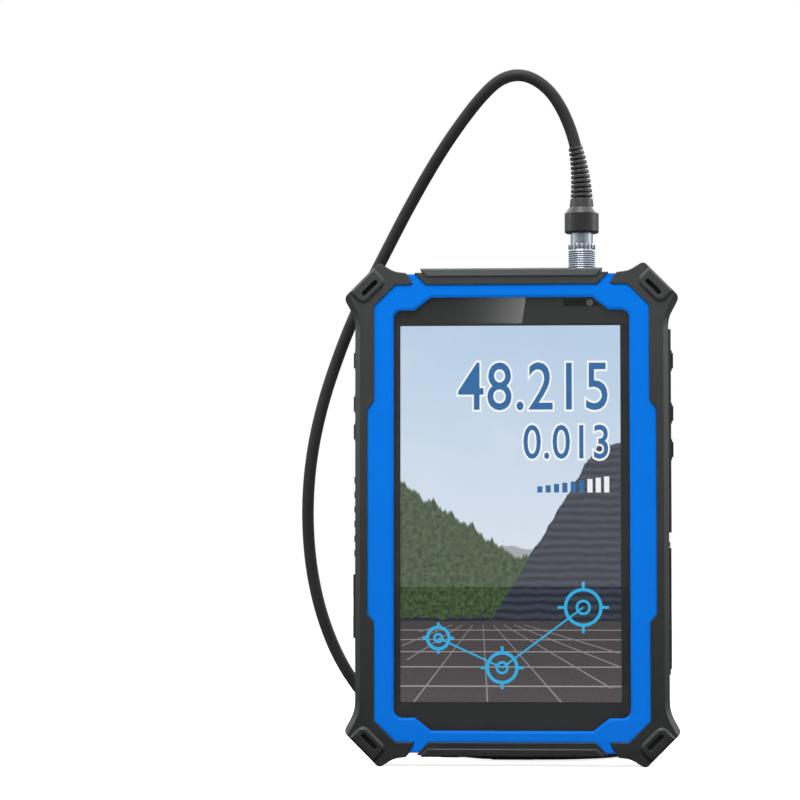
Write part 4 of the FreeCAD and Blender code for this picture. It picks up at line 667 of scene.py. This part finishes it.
# ---- stage ----
class DATACOLLECTOR_OT_stage(bpy.types.Operator):
    """Makes the camera, the pale floor, the soft lamps and the white surroundings"""

    bl_idname = "datacollector.stage"
    bl_label = "Stage"

    def execute(self, context):
        stage = context.scene.data_collector_stage
        scene = context.scene
        scene.view_settings.view_transform = "Standard"
        self.camera(scene, stage)
        self.floor()
        self.lamps(scene, stage)
        self.surroundings(scene)
        return {"FINISHED"}

    def camera(self, scene, stage):
        data = bpy.data.cameras.new("camera")
        data.sensor_width = 36
        data.lens = data.sensor_width * (stage.distance - FACE_DEPTH) / stage.view_width
        data.clip_start, data.clip_end = 0.05, 50
        camera = bpy.data.objects.new("camera", data)
        scene.collection.objects.link(camera)
        scene.camera = camera
        middle = np.array(CAMERA_TARGET)
        place = np.array([CAMERA_SIDE, -stage.distance, CAMERA_HEIGHT])
        camera.location = place
        camera.rotation_mode = "QUATERNION"
        camera.rotation_quaternion = Vector(middle - place).to_track_quat("-Z", "Y")

    def floor(self):
        """One large flat sheet that also glows for the camera, so that it stays pale under its shadow."""
        finish = Finish("floor_white")
        light = finish.node("ShaderNodeLightPath").outputs
        finish.set(
            Base_Color=finish.blend(light["Is Glossy Ray"], (FLOOR_GREY,) * 3, (FLOOR_MIRRORED,) * 3),
            Roughness=0.9,
            Specular_IOR_Level=0.0,
            Emission_Color=(1.0, 1.0, 1.0),
            Emission_Strength=finish.math("MULTIPLY", light["Is Camera Ray"], FLOOR_GREY),
        )
        corners = [(x * FLOOR_HALF, y * FLOOR_HALF, 0) for x, y in ((-1, -1), (1, -1), (1, 1), (-1, 1))]
        mesh = bpy.data.meshes.new("floor")
        mesh.from_pydata(corners, [], [[0, 1, 2, 3]])
        mesh.materials.append(finish.material)
        floor = bpy.data.objects.new("floor", mesh)
        bpy.context.scene.collection.objects.link(floor)

    def lamps(self, scene, stage):
        """Square area lamps, turned to the middle of the object."""
        for name, (power, size, place) in LAMPS.items():
            data = bpy.data.lights.new(name, "AREA")
            data.energy = getattr(stage, power)
            data.shape = "SQUARE"
            data.size = size
            lamp = bpy.data.objects.new(name, data)
            scene.collection.objects.link(lamp)
            lamp.location = place
            lamp.rotation_mode = "QUATERNION"
            lamp.rotation_quaternion = Vector(LAMP_TARGET - np.array(place)).to_track_quat("-Z", "Y")

    def soft_box(self, way, sum_of, between):
        """A tall soft box in front, whose light grows as a cube towards its slanted right edge."""
        edge = sum_of("ADD", BOX_EDGE, sum_of("MULTIPLY", way["Z"], BOX_SLANT))
        past_edge = sum_of("SUBTRACT", way["X"], edge)
        share = sum_of("MAXIMUM", sum_of("ADD", 1.0, sum_of("DIVIDE", past_edge, BOX_WIDTH)), 0.0)
        glow = sum_of("MULTIPLY", BOX_PEAK, sum_of("POWER", share, 3.0))
        inside = sum_of("LESS_THAN", past_edge, 0.0)
        outside = sum_of("SUBTRACT", 1.0, inside)
        light = sum_of("ADD", sum_of("MULTIPLY", glow, inside), sum_of("MULTIPLY", BOX_PAST_EDGE, outside))
        front = sum_of("LESS_THAN", way["Y"], 0.0)
        above = between(way["Z"], *BOX_FOOT, 0.0, 1.0)
        below = between(way["Z"], *BOX_TOP, 1.0, 0.0)
        return sum_of("MULTIPLY", sum_of("MULTIPLY", light, front), sum_of("MULTIPLY", above, below))

    def surroundings(self, scene):
        """White for the camera and through glass; mirrored rays see a grey front and bright sides."""
        world = bpy.data.worlds.new("surroundings")
        scene.world = world
        world.use_nodes = True
        tree = world.node_tree
        tree.nodes.clear()

        def node(kind, **settings):
            made = tree.nodes.new(kind)
            for key, value in settings.items():
                setattr(made, key, value)
            return made

        def join_to(value, socket):
            if isinstance(value, bpy.types.NodeSocket):
                tree.links.new(value, socket)
            else:
                socket.default_value = value

        def sum_of(operation, first, second):
            made = node("ShaderNodeMath", operation=operation)
            join_to(first, made.inputs[0])
            join_to(second, made.inputs[1])
            return made.outputs[0]

        def between(value, low, high, to_low, to_high):
            made = node("ShaderNodeMapRange", interpolation_type="SMOOTHSTEP")
            for key, item in (
                ("Value", value),
                ("From Min", low),
                ("From Max", high),
                ("To Min", to_low),
                ("To Max", to_high),
            ):
                join_to(item, made.inputs[key])
            return made.outputs["Result"]

        way = node("ShaderNodeSeparateXYZ")
        tree.links.new(node("ShaderNodeTexCoord").outputs["Generated"], way.inputs[0])
        across = sum_of("ABSOLUTE", way.outputs["X"], 0.0)
        mirrored = between(across, 0.3, 0.85, FRONT_SHINE, SIDE_SHINE)
        mirrored = sum_of("MAXIMUM", mirrored, between(way.outputs["Z"], 0.06, 0.55, 0.0, OVERHEAD_SHINE))
        mirrored = sum_of("ADD", mirrored, self.soft_box(way.outputs, sum_of, between))
        rays = node("ShaderNodeLightPath").outputs
        seen = sum_of("MAXIMUM", rays["Is Camera Ray"], rays["Is Transmission Ray"])
        strength = sum_of("ADD", seen, sum_of("MULTIPLY", rays["Is Glossy Ray"], mirrored))
        rest = sum_of("SUBTRACT", 1.0, sum_of("MAXIMUM", seen, rays["Is Glossy Ray"]))
        strength = sum_of("ADD", strength, sum_of("MULTIPLY", rest, SOFT_LIGHT))
        back = node("ShaderNodeBackground")
        back.inputs["Color"].default_value = (1, 1, 1, 1)
        tree.links.new(strength, back.inputs["Strength"])
        tree.links.new(back.outputs[0], node("ShaderNodeOutputWorld").inputs["Surface"])


# ---- the lead ----
RELIEF_END = (0.02665, 0.0010, 0.2542)
RELIEF_LEAN = math.radians(13)
FIRST_RUN = 0.008
# From the bend relief over the upper left corner to the foot of the coil
ROUTE = [
    (0.0188, 0.0005, 0.2746),
    (0.0120, 0.0000, 0.2816),
    (0.0040, 0.0000, 0.2850),
    (-0.0045, 0.0020, 0.2834),
    (-0.0125, 0.0050, 0.2764),
    (-0.0212, 0.0090, 0.2660),
    (-0.0312, 0.0130, 0.2520),
    (-0.0430, 0.0180, 0.2325),
    (-0.0540, 0.0200, 0.2115),
    (-0.0650, 0.0205, 0.1900),
    (-0.0735, 0.0210, 0.1690),
    (-0.0805, 0.0215, 0.1475),
    (-0.0850, 0.0220, 0.1255),
    (-0.0865, 0.0230, 0.1030),
    (-0.0850, 0.0250, 0.0800),
    (-0.0800, 0.0270, 0.0580),
    (-0.0710, 0.0285, 0.0375),
    (-0.0570, 0.0285, 0.0200),
    (-0.0400, 0.0275, 0.0085),
    (-0.0205, 0.0266, 0.0035),
]
# Of the coil: its turns, their spacing in diameters, the sector in which a turn changes its place, and
# the gap below
SPARE_TURNS = 5.5
TURN_SPACING = 1.02
CHANGE_SECTOR = math.radians(50)
FLOOR_GAP = 0.0006
# Where the lead joins and leaves the coil, left of its middle, and the straight run to the far plug
COIL_ENTRY = 0.013
COIL_EXIT = 0.008
PLUG_RUN = 0.009


def eased(value):
    """Smooth step from 0 to 1: three squares less two cubes."""
    value = np.clip(value, 0, 1)
    return value * value * (3 - 2 * value)


def coil_points(lead):
    """Control points of the spare turns, from the front round to the right: the radius and the height are
    sums of smooth steps of the angle, so that each turn lies beside or on the one before. The radius is
    divided by what the spline cuts off between its points."""
    per_turn = lead.points_per_turn
    count = int(SPARE_TURNS * per_turn) + 1
    angle = np.arange(count) * 2 * np.pi / per_turn
    step = lead.diameter * TURN_SPACING
    radius = np.full(count, lead.turn_radius + step)
    height = np.full(count, lead.diameter / 2 + FLOOR_GAP)
    for turn, start, out, up in (
        (1, 0, -1, 0),
        (2, 0, -1, 0),
        (3, -50, 0, 1),
        (4, -100, 1, 0),
        (5, -150, 1, 0),
    ):
        change = eased((angle - 2 * np.pi * turn - math.radians(start) + CHANGE_SECTOR) / CHANGE_SECTOR)
        radius = radius + out * step * change
        height = height + up * step * change
    cut = 0.75 + 0.25 * math.cos(2 * np.pi / per_turn)
    radius = radius / cut
    x = lead.coil_x + radius * np.sin(angle)
    y = lead.coil_y - radius * np.cos(angle)
    return np.stack([x, y, height], axis=1)


class DATACOLLECTOR_OT_lead(bpy.types.Operator):
    """Lays the antenna lead from the bend relief over the corner to its spare coil and far plug"""

    bl_idname = "datacollector.lead"
    bl_label = "Antenna lead"

    def execute(self, context):
        lead = context.scene.data_collector_lead
        way = np.array([-math.sin(RELIEF_LEAN), 0, math.cos(RELIEF_LEAN)])
        start = np.array(RELIEF_END)
        turns = coil_points(lead)
        entry = np.array([lead.coil_x - COIL_ENTRY, turns[0][1], turns[0][2]])
        boot_low, boot_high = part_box("far_boot")
        plug = np.array([boot_high[0], (boot_low[1] + boot_high[1]) / 2, (boot_low[2] + boot_high[2]) / 2])
        leaving = np.array([lead.coil_x - COIL_EXIT, plug[1], turns[-1][2]])
        run = (PLUG_RUN, 0, 0)
        tail = [leaving, leaving - run, plug + run, plug]
        points = np.concatenate([[start, start + way * FIRST_RUN], ROUTE, [entry], turns, tail])
        curve = bpy.data.curves.new("antenna_lead", "CURVE")
        curve.dimensions = "3D"
        curve.bevel_depth = lead.diameter / 2
        curve.bevel_resolution = 5
        curve.resolution_u = 6
        spline = curve.splines.new("NURBS")
        spline.points.add(len(points) - 1)
        spline.points.foreach_set("co", np.concatenate([points, np.ones((len(points), 1))], axis=1).ravel())
        spline.order_u = 3
        spline.use_endpoint_u = True
        spline.resolution_u = 6
        cord = bpy.data.objects.new("antenna_lead", curve)
        context.scene.collection.objects.link(cord)
        look = context.scene.data_collector_finish
        curve.materials.append(moulded("cable_jacket", tuple(look.jacket), 0.6, 2400, 0.00001, 0.2))
        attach(cord, TABLET)
        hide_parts("lead_tube", "lead_coil", "lead_tail")
        straps = self.straps(lead)
        return {"FINISHED"}

    def straps(self, lead):
        """Two ties round the winding: the tape's path is a rounded rectangle, from powers of the cosine and
        the sine, and its width is the same angle of the turns at every radius."""
        low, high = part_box("coil_ties")
        thick, half_angle, squareness = 0.0006, math.radians(8.2), 0.35
        half_wide = 0.0076
        half_tall = (high[2] - low[2]) / 2 - thick
        centre = (low[2] + high[2]) / 2
        angle = np.linspace(0, 2 * np.pi, 72, endpoint=False)
        wide = np.sign(np.cos(angle)) * np.abs(np.cos(angle)) ** squareness
        tall = np.sign(np.sin(angle)) * np.abs(np.sin(angle)) ** squareness
        shapes = []
        for side in (0.0, math.pi):
            rings = []
            for skin, spread in ((1.0, 1.0), (0.0, 1.0), (0.0, -1.0), (1.0, -1.0)):
                grow = thick * 0.9 * skin
                radius = lead.turn_radius + wide * (half_wide + grow)
                height = centre + tall * (half_tall + grow)
                turn = side + spread * half_angle
                x = lead.coil_x + radius * math.cos(turn)
                y = lead.coil_y + radius * math.sin(turn)
                rings.append(np.stack([x, y, height], axis=1))
            section = np.stack(rings, axis=1)
            shapes.append((section, closed_section_sweep(section, True)))
        points, faces = join(shapes)
        made = new_object("coil_straps", points, faces, woven("strap_pile", from_screen(34, 34, 36)), 40)
        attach(made, TABLET)
        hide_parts("coil_ties")
        return made


# ---- sleeve ----
class DATACOLLECTOR_OT_sleeve(bpy.types.Operator):
    """Turns the push-pull sleeve with its notched rim and ribbed grip"""

    bl_idname = "datacollector.sleeve"
    bl_label = "Latch sleeve"

    def execute(self, context):
        low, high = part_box("latch_sleeve")
        neck_low, neck_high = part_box("plug_shell")
        x, y = (low[0] + high[0]) / 2, (low[1] + high[1]) / 2
        outer = (high[0] - low[0]) / 2
        bore = (neck_high[0] - neck_low[0]) / 2 + 0.00005
        tall = high[2] - low[2]
        plating = metal("sleeve_nickel", tuple(context.scene.data_collector_finish.nickel), 0.3)
        points, faces = self.surface(x, y, low[2], tall, bore, outer)
        made = new_object("ribbed_sleeve", points, faces, plating, 32)
        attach(made, LATCH)
        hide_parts("latch_sleeve")
        return {"FINISHED"}

    def surface(self, x, y, foot, tall, bore, outer):
        """A turned profile of height and radius, closed through the bore. The grip's radius falls by the
        larger of a cosine of the height and a cubed cosine of the angle, and the rim's by a clipped cosine
        of the angle."""
        ribs, columns, notches = 8, 28, 16
        rib_depth, groove_depth, notch_depth = 0.00035, 0.0001575, 0.0005
        bevel, rim = 0.0003, 0.0022
        segments = columns * 6
        angle = np.linspace(0, 2 * np.pi, segments, endpoint=False)
        base = np.ones(segments)
        share = np.linspace(0, 1, ribs * 6 + 1)
        grip_height = 0.0008 + share * (tall - rim - 0.0012)
        rib = rib_depth * (0.5 + 0.5 * np.cos(share * ribs * 2 * np.pi))[:, None] * base
        groove = groove_depth * (0.5 + 0.5 * np.cos(columns * angle)) ** 3
        grip_radius = outer - np.maximum(rib, groove)
        rim_foot = tall - rim
        rim_radius = outer - notch_depth * np.clip(0.5 + 2.2 * np.cos(notches * angle), 0, 1)
        waist_radius = (outer - notch_depth) * base
        end_radius = (outer - 2 * bevel) * base
        heights = np.concatenate(
            [
                [0, 0, bevel],
                grip_height,
                [rim_foot - bevel / 2, rim_foot, rim_foot + bevel, tall - bevel, tall, tall],
            ]
        )
        radii = np.concatenate(
            [
                [bore * base, (outer - bevel) * base, outer * base],
                grip_radius,
                [waist_radius, waist_radius, rim_radius, rim_radius, end_radius, bore * base],
            ]
        )
        points = np.stack(
            [x + radii * np.cos(angle), y + radii * np.sin(angle), foot + heights[:, None] * base], axis=2
        )
        rows, count = points.shape[:2]
        return points, grid_faces(rows, count, close_rows=True, close_columns=True)


# ---- finishes of the frame's own pieces ----
def make_finishes(look):
    """Every finish of the frame's pieces, by the record's slot."""
    rubber, face, shell = tuple(look.rubber), tuple(look.face), tuple(look.shell)
    nickel, jacket = tuple(look.nickel), tuple(look.jacket)
    black = from_screen(22, 23, 24)
    return {
        # Painted shade by height on both rubbers below; the top strip's ridge also gets a painted
        # highlight, 3.7 times its colour
        "top_strip": bumper_finish("strip_rubber", rubber, 0.45, look.grain, 3.7),
        "bumper_rubber": bumper_finish("bumper_rubber", rubber, 0.45, look.grain),
        "face_blue": moulded("face_blue", face, 0.45, 3400, look.grain * 0.25, 0.08, 0.02, 0.0008),
        "back_shell": moulded("back_shell", shell, 0.55, 2200, look.grain * 1.4, 0.3, 0.03),
        "frame_metal": metal("frame_metal", from_screen(92, 95, 99), 0.5, None, 0.00002),
        "clear_glass": clear("cover_glass_clear", (1.0, 1.0, 1.0)),
        "black_ink": flat_tint("black_ink", from_screen(45, 46, 46)),
        "sensor_film": window_film(
            "sensor_film", from_screen(3, 3, 4), from_screen(96, 98, 94), from_screen(84, 68, 54)
        ),
        "seal_rubber": moulded("seal_rubber", from_screen(18, 18, 18), 0.7, 2600, look.grain, 0.25),
        "key_rubber": moulded("key_rubber", shade(rubber, 1.1), 0.6, 2600, look.grain, 0.28),
        "door_plastic": moulded("door_plastic", shade(rubber, 0.9), 0.55, 2400, look.grain, 0.3),
        "black_plastic": moulded("black_plastic", black, 0.5, 2000, 0.00001, 0.35),
        "nickel": metal("nickel_plate", nickel, 0.3),
        "brass": metal("insert_brass", from_screen(205, 170, 100), 0.3),
        "gold_contact": metal("contact_gold", from_screen(226, 184, 96), 0.2),
        "steel": metal("screw_steel", from_screen(140, 142, 146), 0.34),
        "circuit_board": board("solder_mask"),
        "shield_tin": metal("shield_tin", from_screen(196, 198, 200), 0.4, (1, 1, 0.05)),
        "battery_wrap": moulded("battery_wrap", from_screen(40, 42, 50), 0.35, 700, 0.000008, 0.5),
        "white_insulator": moulded(
            "insulator_white", from_screen(222, 220, 212), 0.4, 1800, 0.000006, 0.4, 0.03
        ),
        "lens_glass": moulded("lens_coating", from_screen(120, 112, 112), 0.12, 300, 0.000001, 0.6, 0.05),
        "lamp_lens": moulded("lamp_lens", from_screen(232, 224, 170), 0.2, 1200, 0.00001, 0.5, 0.05),
        "boot_rubber": moulded("boot_rubber", from_screen(21, 22, 24), 0.34, 2400, 0.00001, 0.5),
        "cable_jacket": moulded("plain_jacket", jacket, 0.4, 2400, 0.00001, 0.4),
        "tie_strap": woven("plain_strap", from_screen(34, 34, 36)),
        "display": moulded("panel_back", black, 0.4, 900, 0.000004, 0.3),
    }


class DATACOLLECTOR_OT_finishes(bpy.types.Operator):
    """Gives every solid of the frame the finish of its slot"""

    bl_idname = "datacollector.finishes"
    bl_label = "Finishes"

    def execute(self, context):
        finishes = make_finishes(context.scene.data_collector_finish)
        for part in frame["record"]["subparts"]:
            if part["material_slot"] not in finishes:
                raise RuntimeError(f"no finish for the slot {part['material_slot']}")
            node = frame["nodes"][part["node"]]
            node.data.materials.clear()
            node.data.materials.append(finishes.get(part["node"], finishes[part["material_slot"]]))
        return {"FINISHED"}


class DATACOLLECTOR_PT_panel(bpy.types.Panel):
    """Lists the settings and the steps"""

    bl_label = "Data collector"
    bl_idname = "DATACOLLECTOR_PT_panel"
    bl_space_type = "VIEW_3D"
    bl_region_type = "UI"
    bl_category = "Data collector"

    def draw(self, context):
        for attribute in SETTINGS:
            box = self.layout.box()
            group = getattr(context.scene, attribute)
            for name in group.__annotations__:
                box.prop(group, name)
        for operator in OPERATORS:
            self.layout.operator(operator.bl_idname)


SETTINGS = {
    "data_collector_finish": FinishSettings,
    "data_collector_lead": LeadSettings,
    "data_collector_screen": ScreenSettings,
    "data_collector_stage": StageSettings,
}
OPERATORS = (
    DATACOLLECTOR_OT_stage,
    DATACOLLECTOR_OT_lead,
    DATACOLLECTOR_OT_finishes,
    DATACOLLECTOR_OT_screen,
    DATACOLLECTOR_OT_sleeve,
)


def register():
    for group in SETTINGS.values():
        bpy.utils.register_class(group)
    for attribute, group in SETTINGS.items():
        setattr(bpy.types.Scene, attribute, PointerProperty(type=group))
    for operator in OPERATORS:
        bpy.utils.register_class(operator)
    bpy.utils.register_class(DATACOLLECTOR_PT_panel)


def unregister():
    bpy.utils.unregister_class(DATACOLLECTOR_PT_panel)
    for operator in reversed(OPERATORS):
        bpy.utils.unregister_class(operator)
    for attribute, group in reversed(list(SETTINGS.items())):
        delattr(bpy.types.Scene, attribute)
        bpy.utils.unregister_class(group)


def main():
    register()
    for operator in OPERATORS:
        group, name = operator.bl_idname.split(".")
        if getattr(getattr(bpy.ops, group), name)() != {"FINISHED"}:
            raise RuntimeError(f"{operator.bl_label} didn't finish")


if __name__ == "__main__":
    main()
